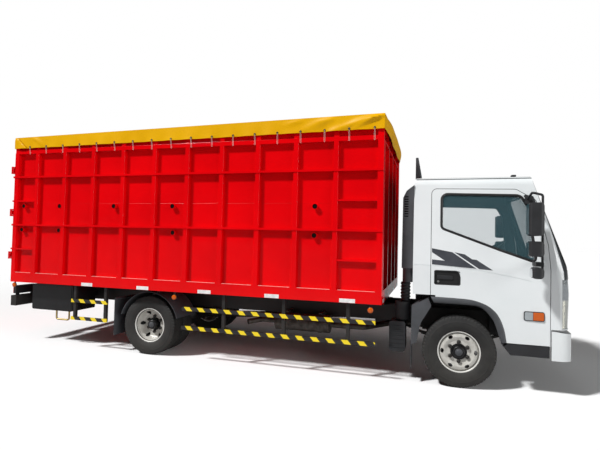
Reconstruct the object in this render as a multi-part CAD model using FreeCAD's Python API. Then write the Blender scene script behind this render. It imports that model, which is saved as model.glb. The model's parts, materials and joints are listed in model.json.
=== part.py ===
import FreeCAD, Part
import math
import os
from FreeCAD import Vector

# A cab-over cargo truck with a ribbed steel load body under a sheet of tarpaulin.
# Millimetres. X points forward, Y to the truck's left, Z up. Every sub-part is drawn
# with X = 0 at the front axle and is moved at the end, so that the origin lies on the
# ground under the middle of the whole truck.

# Stance
wheelbase = 3850.0
front_overhang = 1125.0
rear_overhang = 2317.0
rear_axle_x = -wheelbase
front_axle_x = (wheelbase + rear_overhang - front_overhang) / 2.0
tyre_radius = 383.5
axle_z = tyre_radius

# Wheels
tyre_width = 212.0
bead_radius = 222.0
rim_lip_radius = 238.0
rim_width = 165.0
rim_wall = 8.0
disc_wall = 12.0
front_tyre_face = 990.0
rear_tyre_face = 1030.0
twin_gap = 34.0
stud_circle_radius = 102.5
stud_count = 6
nut_radius = 15.0
hand_hole_radius = 17.0
hand_hole_circle = 172.0
hub_radius = 66.0
rim_set = 24.0
hub_bore_depth = 60.0
rear_bore_depth = 90.0
spindle_radius = 32.0
running_gap = 0.05
seat_gap = 0.3

# Steering
kingpin_y = 745.0
kingpin_radius = 20.0
kingpin_half = 82.0
ear_radius = 38.0
ear_thickness = 30.0
axle_eye_half = 44.0
steer_arm_length = 160.0
steer_arm_z = axle_z - 66.0
tie_rod_radius = 16.0
ball_pin_radius = 9.0

# Chassis frame
frame_half_width = 375.0
rail_height = 190.0
rail_flange = 65.0
rail_wall = 6.0
frame_top_z = 760.0
frame_front_x = 1000.0
frame_rear_x = -6060.0
frame_bottom_z = frame_top_z - rail_height
member_height = 100.0
member_depth = 70.0
member_places = (860.0, -1150.0, -2250.0, -3180.0, -4520.0, -5400.0, -6000.0)

# Springs and axles
spring_y = 395.0
spring_width = 70.0
front_spring_reach = 620.0
rear_spring_reach = 660.0
spring_end_z = 545.0
leaf_count = 5
leaf_thickness = 11.0
spring_stack = leaf_count * leaf_thickness
clamp_plate = 12.0
clamp_bolt_radius = 7.0
beam_half_height = 38.0
beam_half_depth = 42.0
beam_drop = 52.0
rear_tube_radius = 62.0
differential_radius = 165.0
shaft_radius = 42.0
shaft_gap = 3.2

# Load body
body_front_x = -815.0
body_rear_x = -6085.0
body_half_width = 1150.0
rib_depth = 50.0
rib_width = 58.0
sheet_wall = 4.0
rib_count = 10
first_rib_x = -1355.0
last_rib_x = -5686.0
bottom_rail_z = 860.0
floor_z = 1000.0
floor_plate = 40.0
flange_z = 2693.0
flange_height = 14.0
wall_top_z = 2890.0
band_set = 6.0
top_rail_height = 60.0
rib_corner = 7.0
belt_rail_zs = (1675.0, 2360.0)
belt_rail_height = 26.0
belt_rail_proud = 8.0
sill_width = 70.0
bearer_width = 60.0
front_rib_count = 5
front_rib_pitch = body_half_width * 2 / (front_rib_count - 0.54)
corner_post = 66.0
rung_width = 22.0
rung_zs = (1334.0, 2016.0)
stub_radius = 30.0
stub_wall = 6.0
stub_length = 38.0
upper_stub_z = 1945.0
upper_stub_xs = (-5908.0, -5270.0, -4370.0, -3477.0, -1595.0)
lower_stub_z = 1608.0
lower_stub_xs = (-5927.0, -5271.0, -3462.0, -1598.0)

# Tarpaulin
tarp_wall = 5.0
tarp_clear = 0.3
tarp_front_hem_z = 2812.0
tarp_rear_hem_z = 2770.0
tarp_front_edge_z = 2984.0
tarp_rear_edge_z = 2930.0
tarp_crown = 42.0
tarp_edge_radius = 26.0
bow_count = 6
bow_size = 30.0

# Rear doors
leaf_wall = 50.0
leaf_gap = 8.0
door_hinge_out = 30.0
door_hinge_side = 10.0
hinge_pin_radius = 8.0
hinge_eye_radius = 15.0
door_hinge_zs = (1240.0, 1850.0, 2460.0)
hinge_height = 60.0
lock_bar_radius = 13.0

# Cab
cab_wall = 50.0
cab_half_width = 1000.0
cab_sill_half_width = 990.0
cab_roof_half_width = 905.0
cab_belt_z = 1300.0
cab_roof_z = 2318.0
cab_roof_edge_z = 2288.0
cab_roof_radius = 105.0
cab_rear_x = -492.0
cab_rear_bottom_z = 985.0
cab_arch_z = 905.0
cab_step_z = 520.0
cab_nose_bottom_z = 696.0
nose_bottom_x = 1104.0
nose_mid_x = 1122.0
nose_mid_z = 1059.0
screen_foot_x = 1104.0
screen_foot_z = 1296.0
screen_slope = 0.352
nose_sweep = 58.0
nose_flat_half = 450.0
nose_corner_radius = 145.0
screen_top_radius = 190.0
rear_top_radius = 90.0
glass_wall = 6.0
glass_inset = 8.0
door_gap = 6.0
seal_wall = 8.0
seal_overlap = 14.0
side_hinge_x = 856.0
side_hinge_y = 994.0
door_glass_gap = 0.3

# Mirrors
mirror_out_y = 1280.0
mirror_arm_y = 1165.0
mirror_arm_x = 765.0
mirror_rear_x = 624.0
mirror_head_x = 668.0
mirror_head_y = 935.0
mirror_head_z = 2020.0
mirror_foot_z = 1345.0
mirror_tube_radius = 12.0
mirror_housings = ((1647.0, 1976.0, 165.0, 0.0), (1442.0, 1594.0, 150.0, 0.0), (1226.0, 1335.0, 150.0, 32.0))

# Panel work on the cab
roof_panel_depth = 82.0
handle_pocket = ((-262.0, 1103.0), (5.0, 1256.0))
handle_pocket_depth = 15.0
crease_points = ((-480.0, 1308.0), (-144.0, 1303.0), (167.0, 1278.0), (590.0, 1200.0), (700.0, 1176.0))
crease_half = 4.0
crease_depth = 4.0
grille_half_width = 620.0
grille_low_z = 735.0
grille_high_z = 935.0
grille_depth = 18.0
grille_slot_depth = 10.0
grille_slots = 5
grille_slot_height = 24.0
grille_border = 22.0

# Behind the cab
snorkel_foot_z = 1262.0
snorkel_top_z = 2205.0
snorkel_rear_x = -620.0
snorkel_outer_y = -930.0
snorkel_inner_y = -740.0
snorkel_pipe_radius = 58.0
louvre_count = 17
louvre_pitch = 40.0
louvre_height = 16.0
louvre_depth = 22.0
intake_y = (snorkel_outer_y + snorkel_inner_y) / 2
bellows_x = -577.0
bellows_top_z = 1101.0
bellows_radius = 58.0
bellows_groove = 11.0
bellows_rings = 6
canister_x = -607.0
canister_radius = 83.0
canister_low_z = 680.0
canister_height = 199.0
side_box_front_x = -567.0
side_box_rear_x = -746.0
side_box_outer_y = -960.0
side_box_inner_y = -700.0
side_box_low_z = 329.0
side_box_high_z = 664.0
side_box_ribs = 6
side_box_rib = 12.0
deflector_half_width = 760.0
deflector_rear_x = -486.0
deflector_top_z = 2545.0
deflector_top_depth = 30.0
deflector_foot_depth = 56.0

# Inside the cab
seat_y = 580.0
seat_half_width = 190.0
seat_rear_x = -400.0
seat_length = 550.0
seat_back_depth = 165.0
seat_lean = 95.0
seat_low_z = 1035.0
seat_top_z = 1250.0
seat_back_top_z = 1820.0
dash_half_width = 905.0
dash_rear_x = 700.0
dash_low_z = 1010.0
dash_top_z = 1330.0
steer_tilt = 32.0
steer_x = 470.0
steer_y = 520.0
steer_z = 1480.0

# Cab tilt
tilt_x = 1060.0
tilt_z = 640.0
tilt_y = 345.0
tilt_pin_radius = 15.0
tilt_eye_radius = 25.0
tilt_eye_width = 50.0
tilt_ear = 12.0
hoop_width = 60.0
hoop_depth = 70.0
hoop_pad = 35.0

# Engine
engine_rear_x = -400.0
engine_front_x = 400.0
engine_half_width = 260.0
engine_bottom_z = 470.0
engine_top_z = 1030.0
gearbox_rear_x = -1000.0
gearbox_half_width = 150.0
gearbox_top_z = 715.0
tunnel_half_width = 320.0
tunnel_top_z = 1065.0
tunnel_front_x = 430.0
channel_half_width = 465.0
channel_top_z = 800.0

# Tank, batteries and tool box
side_arm_set = 50.0
side_arm_width = 60.0
side_arm_height = 80.0
tank_gap = 95.0
tank_width = 430.0
tank_front_x = -1100.0
tank_rear_x = -2050.0
tank_bottom_z = 430.0
tank_height = 370.0
tank_corner = 90.0
tank_strap_width = 50.0
tank_strap_wall = 5.0
battery_gap = 55.0
battery_width = 430.0
battery_front_x = -2300.0
battery_length = 450.0
battery_bottom_z = 460.0
battery_height = 270.0
tool_box_front_x = -5117.0
tool_box_rear_x = -5834.0
tool_box_set_in = 150.0
tool_box_depth = 440.0
tool_box_bottom_z = 470.0
tool_box_height = 361.0
tool_box_corner = 26.0
tool_box_lid_border = 22.0
tool_box_lid_proud = 4.0
step_bar_radius = 12.0
step_front_x = -5205.0
step_rear_x = -5425.0
step_foot_z = 345.0

# Side guards
guard_set_in = 42.0
guard_y = body_half_width - guard_set_in
guard_rail_wall = 16.0
guard_rail_height = 46.0
guard_rail_zs = (415.0, 652.0)
guard_post = 40.0
guard_spans = ((-882.0, -3308.0), (-4440.0, -5024.0))
guard_post_xs = (-1192.0, -1959.0, -2738.0, -4480.0, -4980.0)

# Mudguards
guard_radius = tyre_radius + 58.0
guard_wall = 6.0
rear_flap_x = -4384.0
rear_flap_low_z = 215.0
rear_flap_top_z = 716.0
flap_tube_radius = 15.0

# Exhaust
silencer_y = -600.0
silencer_z = 500.0
silencer_radius = 108.0
silencer_front_x = -1507.0
silencer_rear_x = -2214.0
front_pipe_radius = 36.0
tail_pipe_radius = 34.0
strap_inset = 130.0
strap_width = 40.0
strap_wall = 5.0

# Rear lamps and underrun bar
underrun_half_width = 1060.0
underrun_depth = 100.0
underrun_low_z = 505.0
underrun_height = 145.0
underrun_arm = 60.0
lamp_inner_y = 690.0
lamp_outer_y = 1040.0
lamp_low_z = 674.0
lamp_height = 116.0
lamp_depth = 52.0
lens_radius = 46.0
lens_proud = 7.0

# Bumper
bumper_bottom_z = 381.0
bumper_top_z = 662.0
bumper_rear_x = 892.0
bumper_wall = 20.0
bumper_slot_half = 380.0
bumper_slot_low_z = 425.0
bumper_slot_high_z = 500.0
fog_lamp_y = 760.0
fog_lamp_z = 505.0
fog_lamp_radius = 48.0
fog_lamp_depth = 12.0


def block(x0, x1, y0, y1, z0, z1):
    return Part.makeBox(x1 - x0, y1 - y0, z1 - z0, Vector(x0, y0, z0))


def rounded_wire(corners):
    """A closed wire through corners, each a point and the radius that rounds it."""
    count = len(corners)
    edges = []
    last = None
    first = None
    for i in range(count):
        point, radius = corners[i]
        if radius > 0:
            back = (corners[i - 1][0] - point).normalize()
            ahead = (corners[(i + 1) % count][0] - point).normalize()
            half = math.acos(max(-1.0, min(1.0, back.dot(ahead)))) / 2.0
            run = radius / math.tan(half)
            start = point + back * run
            end = point + ahead * run
            inward = (back + ahead).normalize()
            middle = point + inward * (radius / math.sin(half) - radius)
        else:
            start = point
            end = point
        if last is not None and (start - last).Length > 1e-6:
            edges.append(Part.LineSegment(last, start).toShape())
        if first is None:
            first = start
        if radius > 0:
            edges.append(Part.Arc(start, middle, end).toShape())
        last = end
    edges.append(Part.LineSegment(last, first).toShape())
    return Part.Wire(edges)


def side_face(corners, y=0.0):
    return Part.Face(rounded_wire([(Vector(x, y, z), r) for x, z, r in corners]))


def plan_face(corners, z=0.0):
    return Part.Face(rounded_wire([(Vector(x, y, z), r) for x, y, r in corners]))


def cross_face(corners, x=0.0):
    return Part.Face(rounded_wire([(Vector(x, y, z), r) for y, z, r in corners]))


def side_plate(corners, y0, y1):
    return side_face(corners, y0).extrude(Vector(0, y1 - y0, 0))


def plan_plate(corners, z0, z1):
    return plan_face(corners, z0).extrude(Vector(0, 0, z1 - z0))


def cross_plate(corners, x0, x1):
    return cross_face(corners, x0).extrude(Vector(x1 - x0, 0, 0))


def shrink(face, inset):
    if inset == 0:
        return face
    return face.makeOffset2D(-inset, 2)


def joined(shapes):
    return shapes[0].multiFuse(shapes[1:]).removeSplitter()


def pair(shape):
    """The shape and its mirror image on the truck's other side, as two solids."""
    return Part.makeCompound([shape, mirrored(shape)])


def mirrored(shape):
    return shape.mirror(Vector(0, 0, 0), Vector(0, 1, 0))


def rod(start, end, radius):
    run = end - start
    return Part.makeCylinder(radius, run.Length, start, run)


def bent_pipe(points, radius, bend):
    """A round bar along straight runs that are joined by arcs."""
    edges = []
    last = points[0]
    for i in range(1, len(points) - 1):
        back = (points[i - 1] - points[i]).normalize()
        ahead = (points[i + 1] - points[i]).normalize()
        half = math.acos(back.dot(ahead)) / 2.0
        run = bend / math.tan(half)
        start = points[i] + back * run
        end = points[i] + ahead * run
        inward = (back + ahead).normalize()
        middle = points[i] + inward * (bend / math.sin(half) - bend)
        edges.append(Part.LineSegment(last, start).toShape())
        edges.append(Part.Arc(start, middle, end).toShape())
        last = end
    edges.append(Part.LineSegment(last, points[-1]).toShape())
    path = Part.Wire(edges)
    ring = Part.Wire(Part.makeCircle(radius, points[0], points[1] - points[0]))
    return path.makePipeShell([ring], True, False)


# Load body

def rib_places():
    pitch = (last_rib_x - first_rib_x) / (rib_count - 1)
    return [first_rib_x + pitch * i for i in range(rib_count)]


def rib(x, sheet, outer):
    """A folded rib: full depth up to the flange, a little shallower above it."""
    half = rib_width / 2
    corners = [(x - half, sheet, 0), (x - half, outer, rib_corner), (x + half, outer, rib_corner)]
    corners.append((x + half, sheet, 0))
    head = block(x - half, x + half, sheet, outer - band_set, flange_z, wall_top_z)
    return [plan_plate(corners, floor_z, flange_z), head]


def rungs(bay_front, bay_rear, outer, sheet):
    rails = []
    for z in rung_zs:
        rails.append(block(bay_rear, bay_front, sheet, outer, z - rung_width / 2, z + rung_width / 2))
    return rails


def load_side_wall():
    """The left wall: a sheet behind ribs, end posts, belt rails, a flange and a hidden top rail."""
    outer = body_half_width
    sheet = outer - rib_depth
    ribs = rib_places()
    pieces = [block(body_rear_x, body_front_x, sheet - sheet_wall, sheet, floor_z, wall_top_z)]
    pieces.append(block(body_rear_x, body_front_x, sheet - sheet_wall, outer, bottom_rail_z, floor_z))
    pieces.append(block(body_rear_x, body_front_x, sheet, outer, flange_z, flange_z + flange_height))
    rail_low = wall_top_z - top_rail_height
    pieces.append(block(body_rear_x, body_front_x, sheet, outer - band_set, rail_low, wall_top_z))
    for x in ribs:
        pieces += rib(x, sheet, outer)
    for low in (body_front_x - corner_post, body_rear_x):
        pieces.append(block(low, low + corner_post, sheet, outer, floor_z, flange_z))
        pieces.append(block(low, low + corner_post, sheet, outer - band_set, flange_z, wall_top_z))
    for z in belt_rail_zs:
        low = z - belt_rail_height / 2
        high = z + belt_rail_height / 2
        pieces.append(block(body_rear_x, body_front_x, outer, outer + belt_rail_proud, low, high))
    pieces += rungs(body_front_x - corner_post, ribs[0] + rib_width / 2, outer, sheet)
    pieces += rungs(ribs[-1] - rib_width / 2, body_rear_x + corner_post, outer, sheet)
    return joined(pieces)


def load_front_wall():
    inner = body_half_width - rib_depth - sheet_wall
    face = body_front_x - rib_depth
    pieces = [block(face - sheet_wall, face, -inner, inner, floor_z, wall_top_z)]
    pieces.append(block(face - sheet_wall, body_front_x, -inner, inner, bottom_rail_z, floor_z))
    pieces.append(block(face, body_front_x, -inner, inner, flange_z, flange_z + flange_height))
    rail_low = wall_top_z - top_rail_height
    pieces.append(block(face, body_front_x - band_set, -inner, inner, rail_low, wall_top_z))
    for i in range(front_rib_count):
        low = (i - (front_rib_count - 1) / 2) * front_rib_pitch - rib_width / 2
        pieces.append(block(face, body_front_x, low, low + rib_width, floor_z, flange_z))
        pieces.append(block(face, body_front_x - band_set, low, low + rib_width, flange_z, wall_top_z))
    return joined(pieces)


def load_floor():
    """The floor plate, and the two long sills that stand on the frame rails."""
    inner = body_half_width - rib_depth - sheet_wall
    rear = body_rear_x + corner_post
    front = body_front_x - rib_depth - sheet_wall
    pieces = [block(rear, front, -inner, inner, floor_z - floor_plate, floor_z)]
    for side in (-1, 1):
        middle = side * (frame_half_width - sill_width / 2)
        low = middle - sill_width / 2
        pieces.append(block(rear, front, low, low + sill_width, frame_top_z, bottom_rail_z))
    return Part.makeCompound(pieces)


def floor_bearers():
    """Cross bearers between the sills and the floor plate, one at each rib."""
    inner = body_half_width - rib_depth - sheet_wall
    rear = body_rear_x + corner_post
    front = body_front_x - rib_depth - sheet_wall
    places = [front - bearer_width / 2] + rib_places() + [rear + bearer_width / 2]
    bearers = []
    for x in places:
        low = x - bearer_width / 2
        bearers.append(block(low, low + bearer_width, -inner, inner, bottom_rail_z, floor_z - floor_plate))
    return Part.makeCompound(bearers)


def load_rear_frame():
    """The portal round the rear doors: sill, header and two posts with hinge ears."""
    inner = body_half_width - rib_depth - sheet_wall
    front = body_rear_x + corner_post
    post = inner - corner_post
    pieces = [block(body_rear_x, front, -inner, inner, bottom_rail_z, floor_z)]
    pieces.append(block(body_rear_x, front, -inner, inner, flange_z, wall_top_z))
    for side in (-1, 1):
        low = min(side * post, side * inner)
        pieces.append(block(body_rear_x + leaf_wall + leaf_gap, front, low, low + corner_post, floor_z, flange_z))
    return joined(pieces)


def tarp_profile(x, hem_z, edge_z, inset):
    outer = body_half_width + tarp_clear + tarp_wall - inset
    top = edge_z - inset
    crown = top + tarp_crown
    radius = tarp_edge_radius - inset
    half = outer * 0.5
    corners = [(-outer, hem_z, 0), (-outer, top, radius), (-half, crown - tarp_crown * 0.25, 900)]
    corners += [(0, crown, 900), (half, crown - tarp_crown * 0.25, 900)]
    corners += [(outer, top, radius), (outer, hem_z, 0)]
    return rounded_wire([(Vector(x, y, z), r) for y, z, r in corners])


def tarp_hull(inset):
    front = body_front_x + tarp_clear + tarp_wall - inset
    rear = body_rear_x - tarp_clear - tarp_wall + inset
    drop = inset * 4.0
    fore = tarp_profile(front, tarp_front_hem_z - drop, tarp_front_edge_z, inset)
    aft = tarp_profile(rear, tarp_rear_hem_z - drop, tarp_rear_edge_z, inset)
    return Part.makeLoft([fore, aft], True, True)


def tarp():
    """The cover as it lies over the walls: a crowned top and a skirt on every side."""
    return tarp_hull(0.0).cut(tarp_hull(tarp_wall))


def bow_slice(x, inset):
    slab = block(x - bow_size / 2, x + bow_size / 2, -body_half_width, body_half_width, wall_top_z, 3200)
    return tarp_hull(tarp_wall + seat_gap + inset).common(slab)


def roof_bows():
    """Hoops that stand on the wall tops and hold the cover up."""
    bows = []
    run = body_front_x - rib_depth - body_rear_x - corner_post
    step = run / (bow_count + 1)
    for i in range(bow_count):
        x = body_front_x - rib_depth - step * (i + 1)
        bows.append(bow_slice(x, 0.0).cut(bow_slice(x, bow_size)))
    return Part.makeCompound(bows)


def stub(x, z):
    face = body_half_width - rib_depth
    outer = Part.makeCylinder(stub_radius, stub_length, Vector(x, face, z), Vector(0, 1, 0))
    bore = Part.makeCylinder(stub_radius - stub_wall, stub_length, Vector(x, face + stub_wall, z), Vector(0, 1, 0))
    return outer.cut(bore)


def wall_stubs():
    stubs = [stub(x, upper_stub_z) for x in upper_stub_xs]
    stubs += [stub(x, lower_stub_z) for x in lower_stub_xs]
    return Part.makeCompound(stubs + [mirrored(s) for s in stubs])


def hinge_axis_x():
    return body_rear_x - door_hinge_out


def hinge_axis_y():
    return body_half_width + door_hinge_side


def rear_leaf():
    """The left rear door: a framed leaf between the sill and the header."""
    outer = body_half_width - rib_depth - sheet_wall - leaf_gap
    low = floor_z + leaf_gap
    high = flange_z - leaf_gap
    inside = body_rear_x + leaf_wall
    frame = block(body_rear_x, inside, leaf_gap / 2, outer, low, high)
    border = 70.0
    bays = 3
    bay = (high - low - border) / bays
    for i in range(bays):
        foot = low + border + bay * i
        pocket = block(body_rear_x - 1, inside - sheet_wall, border, outer - border, foot, foot + bay - border)
        frame = frame.cut(pocket)
    pieces = [frame]
    for z in door_hinge_zs:
        low_z = z - hinge_height / 2
        eye = Part.makeCylinder(hinge_eye_radius, hinge_height, Vector(hinge_axis_x(), hinge_axis_y(), low_z))
        strap = block(hinge_axis_x() + 2, hinge_axis_x() + 14, outer - 60, hinge_axis_y(), low_z, low_z + hinge_height)
        pad = block(hinge_axis_x() + 2, body_rear_x, outer - 60, outer - 4, low_z, low_z + hinge_height)
        pieces += [eye, strap, pad]
    leaf = joined(pieces)
    for z in door_hinge_zs:
        low_z = z - hinge_height / 2 - 1
        bore = Part.makeCylinder(hinge_pin_radius + running_gap, hinge_height + 2,
                                 Vector(hinge_axis_x(), hinge_axis_y(), low_z))
        leaf = leaf.cut(bore)
    for y in (outer * 0.32, outer * 0.72):
        bar = rod(Vector(body_rear_x - 18, y, low - 20), Vector(body_rear_x - 18, y, high + 20), lock_bar_radius)
        leaf = leaf.fuse(bar)
        for i in range(bays + 1):
            z = low + bay * i + border / 2
            leaf = leaf.fuse(block(body_rear_x - 20, body_rear_x, y - 24, y + 24, z - 22, z + 22))
    return leaf.removeSplitter()


def hinge_bracket():
    """Ears and pins on the left corner post, three of them."""
    brackets = []
    for z in door_hinge_zs:
        x = hinge_axis_x()
        y = hinge_axis_y()
        low = z - hinge_height / 2 - 22
        pin = Part.makeCylinder(hinge_pin_radius, hinge_height + 44, Vector(x, y, low))
        pieces = [pin]
        for foot in (low, z + hinge_height / 2 + 2):
            pieces.append(Part.makeCylinder(hinge_eye_radius, 20, Vector(x, y, foot)))
            pieces.append(block(x, body_rear_x, y - 35, y, foot, foot + 20))
        brackets.append(joined(pieces))
    return brackets


def door_hinges():
    left = hinge_bracket()
    return Part.makeCompound(left + [mirrored(b) for b in left])


# Cab

def nose_x(z):
    """How far the nose reaches forward at this height, on the centre line."""
    if z <= nose_mid_z:
        share = (z - cab_step_z) / (nose_mid_z - cab_step_z)
        return nose_bottom_x + (nose_mid_x - nose_bottom_x) * share
    if z <= screen_foot_z:
        share = (z - nose_mid_z) / (screen_foot_z - nose_mid_z)
        return nose_mid_x + (screen_foot_x - nose_mid_x) * share
    return screen_foot_x - (z - screen_foot_z) * screen_slope


def cab_plan(z, inset):
    nose = nose_x(z)
    corners = [(cab_rear_x - 300, -cab_half_width, 0), (nose - nose_sweep, -cab_half_width, nose_corner_radius)]
    corners += [(nose, -nose_flat_half, 2600), (nose, nose_flat_half, 2600)]
    corners += [(nose - nose_sweep, cab_half_width, nose_corner_radius), (cab_rear_x - 300, cab_half_width, 0)]
    return shrink(plan_face(corners, z), inset).OuterWire


def cab_side_outline(inset):
    roof = cab_roof_z + 6.0
    front = 14.0
    screen_top_x = nose_x(roof)
    corners = [(480, cab_step_z, 20), (885, cab_step_z, 0), (885, cab_nose_bottom_z, 0)]
    corners += [(nose_bottom_x + 30, cab_nose_bottom_z, 0), (nose_mid_x + front, nose_mid_z, 0)]
    corners += [(screen_foot_x + front, screen_foot_z, 0), (screen_top_x + 2, roof, screen_top_radius)]
    corners += [(cab_rear_x, roof, rear_top_radius), (cab_rear_x, cab_rear_bottom_z, 0)]
    corners += [(-250, cab_rear_bottom_z, 0), (-250, cab_arch_z, 0), (395, cab_arch_z, 60), (480, 720, 40)]
    return shrink(side_face(corners, -1200), inset)


def cab_section_outline(inset):
    roof = cab_roof_z
    corners = [(-cab_sill_half_width, 400, 0), (-cab_half_width, cab_belt_z, 400)]
    corners += [(-cab_roof_half_width, cab_roof_edge_z, cab_roof_radius), (-400, roof, 1500)]
    corners += [(400, roof, 1500), (cab_roof_half_width, cab_roof_edge_z, cab_roof_radius)]
    corners += [(cab_half_width, cab_belt_z, 400), (cab_sill_half_width, 400, 0)]
    return shrink(cross_face(corners, -1000), inset)


cab_bodies = {}


def cab_body(inset):
    """The cab's solid outer form, or a smaller one that lies this far inside it."""
    if inset not in cab_bodies:
        side = cab_side_outline(inset).extrude(Vector(0, 2400, 0))
        section = cab_section_outline(inset).extrude(Vector(2600, 0, 0))
        levels = (300.0, nose_mid_z, screen_foot_z, 2500.0)
        plan = Part.makeLoft([cab_plan(z, inset) for z in levels], True, True)
        cab_bodies[inset] = side.common(section).common(plan)
    return cab_bodies[inset]


def door_outline(inset):
    corners = [(-305, 876, 0), (-305, 2164, 60), (560, 2150, 60), (754, 2030, 60), (862, 1560, 160)]
    corners += [(881, 1306, 200), (881, cab_step_z, 0), (484, cab_step_z, 0)]
    corners += [(408, cab_step_z, 0), (345, 716, 90), (240, 850, 160), (95, 890, 160), (-200, 893, 160)]
    return shrink(side_face(corners, -1100), inset)


def door_prism(inset, deep):
    return door_outline(inset).extrude(Vector(0, deep, 0))


def window_outline(grow):
    corners = [(-190, 2096, 55), (600, 2075, 70), (672, 1950, 60), (742, 1380, 30), (396, 1501, 300), (-190, 1722, 45)]
    face = side_face(corners, -1100)
    if grow == 0:
        return face
    return face.makeOffset2D(grow, 2)


def side_slab(inset):
    """Everything between the cab's two side walls, at this depth from the outside."""
    return cab_section_outline(inset).extrude(Vector(2600, 0, 0))


def door_zone():
    return door_prism(0.0, 320.0).cut(side_slab(cab_wall + door_gap))


def handle_hollow():
    """The recess in the right door's skin that the pull handle bridges."""
    (rear, low), (front, high) = handle_pocket
    corners = [(rear, low, 22), (rear, high, 22), (front, high, 22), (front, low, 22)]
    return side_plate(corners, -cab_half_width - 100, handle_pocket_depth - cab_half_width)


def crease():
    """The groove pressed along the right side's skin, from the cab's rear edge over the door."""
    over = [(x, z + crease_half, 0) for x, z in crease_points]
    under = [(x, z - crease_half, 0) for x, z in reversed(crease_points)]
    return side_plate(over + under, -cab_half_width - 100, crease_depth - cab_half_width)


def door():
    """The right door: the cab's wall inside the door line, with its window cut."""
    leaf = cab_body(0).common(door_prism(door_gap, 320.0)).cut(side_slab(cab_wall))
    window = window_outline(0).extrude(Vector(0, 320, 0))
    return leaf.cut(window).cut(handle_hollow()).cut(crease())


def door_seal():
    """The rubber strip in the right doorway that the door shuts against, open at its hinge."""
    slab = side_slab(cab_wall + seat_gap).cut(side_slab(cab_wall + seat_gap + seal_wall))
    outer = door_outline(-seal_overlap).extrude(Vector(0, 320, 0))
    inner = door_outline(door_gap + seal_overlap).extrude(Vector(0, 320, 0))
    ring = slab.common(outer.cut(inner))
    room = cab_body(cab_wall + seat_gap)
    return ring.common(room).common(block(-400, side_hinge_x - 20, -1100, 0, 400, 2400))


def door_glass():
    sheet = cab_body(glass_inset).cut(cab_body(glass_inset + glass_wall))
    window = window_outline(-door_glass_gap).extrude(Vector(0, 320, 0))
    return sheet.common(window)


def screen_prism(grow):
    """The windscreen's opening, seen from the front."""
    corners = [(-905 , 1325, 60), (-830, 2165, 90), (830, 2165, 90), (905, 1325, 60)]
    face = cross_face(corners, 500)
    if grow != 0:
        face = face.makeOffset2D(grow, 2)
    return face.extrude(Vector(800, 0, 0))


def rear_window_prism(grow):
    corners = [(-520, 1560, 50), (-520, 2000, 50), (520, 2000, 50), (520, 1560, 50)]
    face = cross_face(corners, cab_rear_x - 50)
    if grow != 0:
        face = face.makeOffset2D(grow, 2)
    return face.extrude(Vector(160, 0, 0))


def headlamp_prism(grow):
    corners = [(-1010, 705, 0), (-1010, 1205, 0), (-845, 1215, 30), (-790, 1000, 60), (-760, 705, 20)]
    face = cross_face(corners, 985)
    if grow != 0:
        face = face.makeOffset2D(grow, 2)
    return face.extrude(Vector(200, 0, 0))


def grille_prism(inset):
    """The grille's outline in the nose, seen from the front."""
    side = grille_half_width - inset
    low = grille_low_z + inset
    high = grille_high_z - inset
    corners = [(-side, low, 40), (-side, high, 40), (side, high, 40), (side, low, 40)]
    return cross_plate(corners, 985, nose_mid_x + 60)


def grille():
    """A black insert in the nose, with slots between its slats."""
    insert = grille_prism(seat_gap).common(cab_body(3)).cut(cab_body(grille_depth - seat_gap))
    pitch = (grille_high_z - grille_low_z - 2 * grille_border - grille_slot_height) / (grille_slots - 1)
    keep = cab_body(grille_slot_depth)
    for i in range(grille_slots):
        low = grille_low_z + grille_border + pitch * i
        side = grille_half_width - grille_border
        corners = [(-side, low, 10), (-side, low + grille_slot_height, 10)]
        corners += [(side, low + grille_slot_height, 10), (side, low, 10)]
        insert = insert.cut(cross_plate(corners, 985, nose_mid_x + 60).cut(keep))
    return insert


def under_void(grow):
    """What the cab leaves free for the frame, the engine and the foot of the steps."""
    channel = block(-700 - grow, 1030 + 2 * grow, -channel_half_width - grow, channel_half_width + grow,
                    0, channel_top_z + grow)
    tunnel = block(-700 - grow, tunnel_front_x + grow, -tunnel_half_width - grow, tunnel_half_width + grow,
                   0, tunnel_top_z + grow)
    wells = block(440 - grow, 1030 + 2 * grow, -720 - grow, 720 + grow, 0, 700 + grow)
    return channel.fuse(tunnel).fuse(wells)


def hinge_arm():
    """The left arm that carries the cab on its tilting pin."""
    low = tilt_y - tilt_eye_width / 2
    high = tilt_y + tilt_eye_width / 2
    eye = Part.makeCylinder(tilt_eye_radius, tilt_eye_width, Vector(tilt_x, low, tilt_z), Vector(0, 1, 0))
    arm = block(tilt_x - tilt_eye_radius, tilt_x + 12, low, high, tilt_z, cab_nose_bottom_z + 20)
    radius = tilt_pin_radius + running_gap
    bore = Part.makeCylinder(radius, tilt_eye_width, Vector(tilt_x, low, tilt_z), Vector(0, 1, 0))
    return eye.fuse(arm).cut(bore)


def cab_shell():
    outer = cab_body(0).cut(under_void(0.0))
    inner = cab_body(cab_wall).cut(under_void(cab_wall))
    shell = outer.cut(inner)
    zone = door_zone()
    shell = shell.cut(zone).cut(mirrored(zone))
    shell = shell.cut(screen_prism(0)).cut(rear_window_prism(0))
    lamp = headlamp_prism(0).cut(cab_body(cab_wall - 8))
    shell = shell.cut(lamp).cut(mirrored(lamp)).cut(grille_prism(0.0).cut(cab_body(grille_depth)))
    shell = shell.cut(crease()).cut(mirrored(crease()))
    shell = shell.fuse(hinge_arm()).fuse(mirrored(hinge_arm()))
    return cab_panels(shell)


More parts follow.
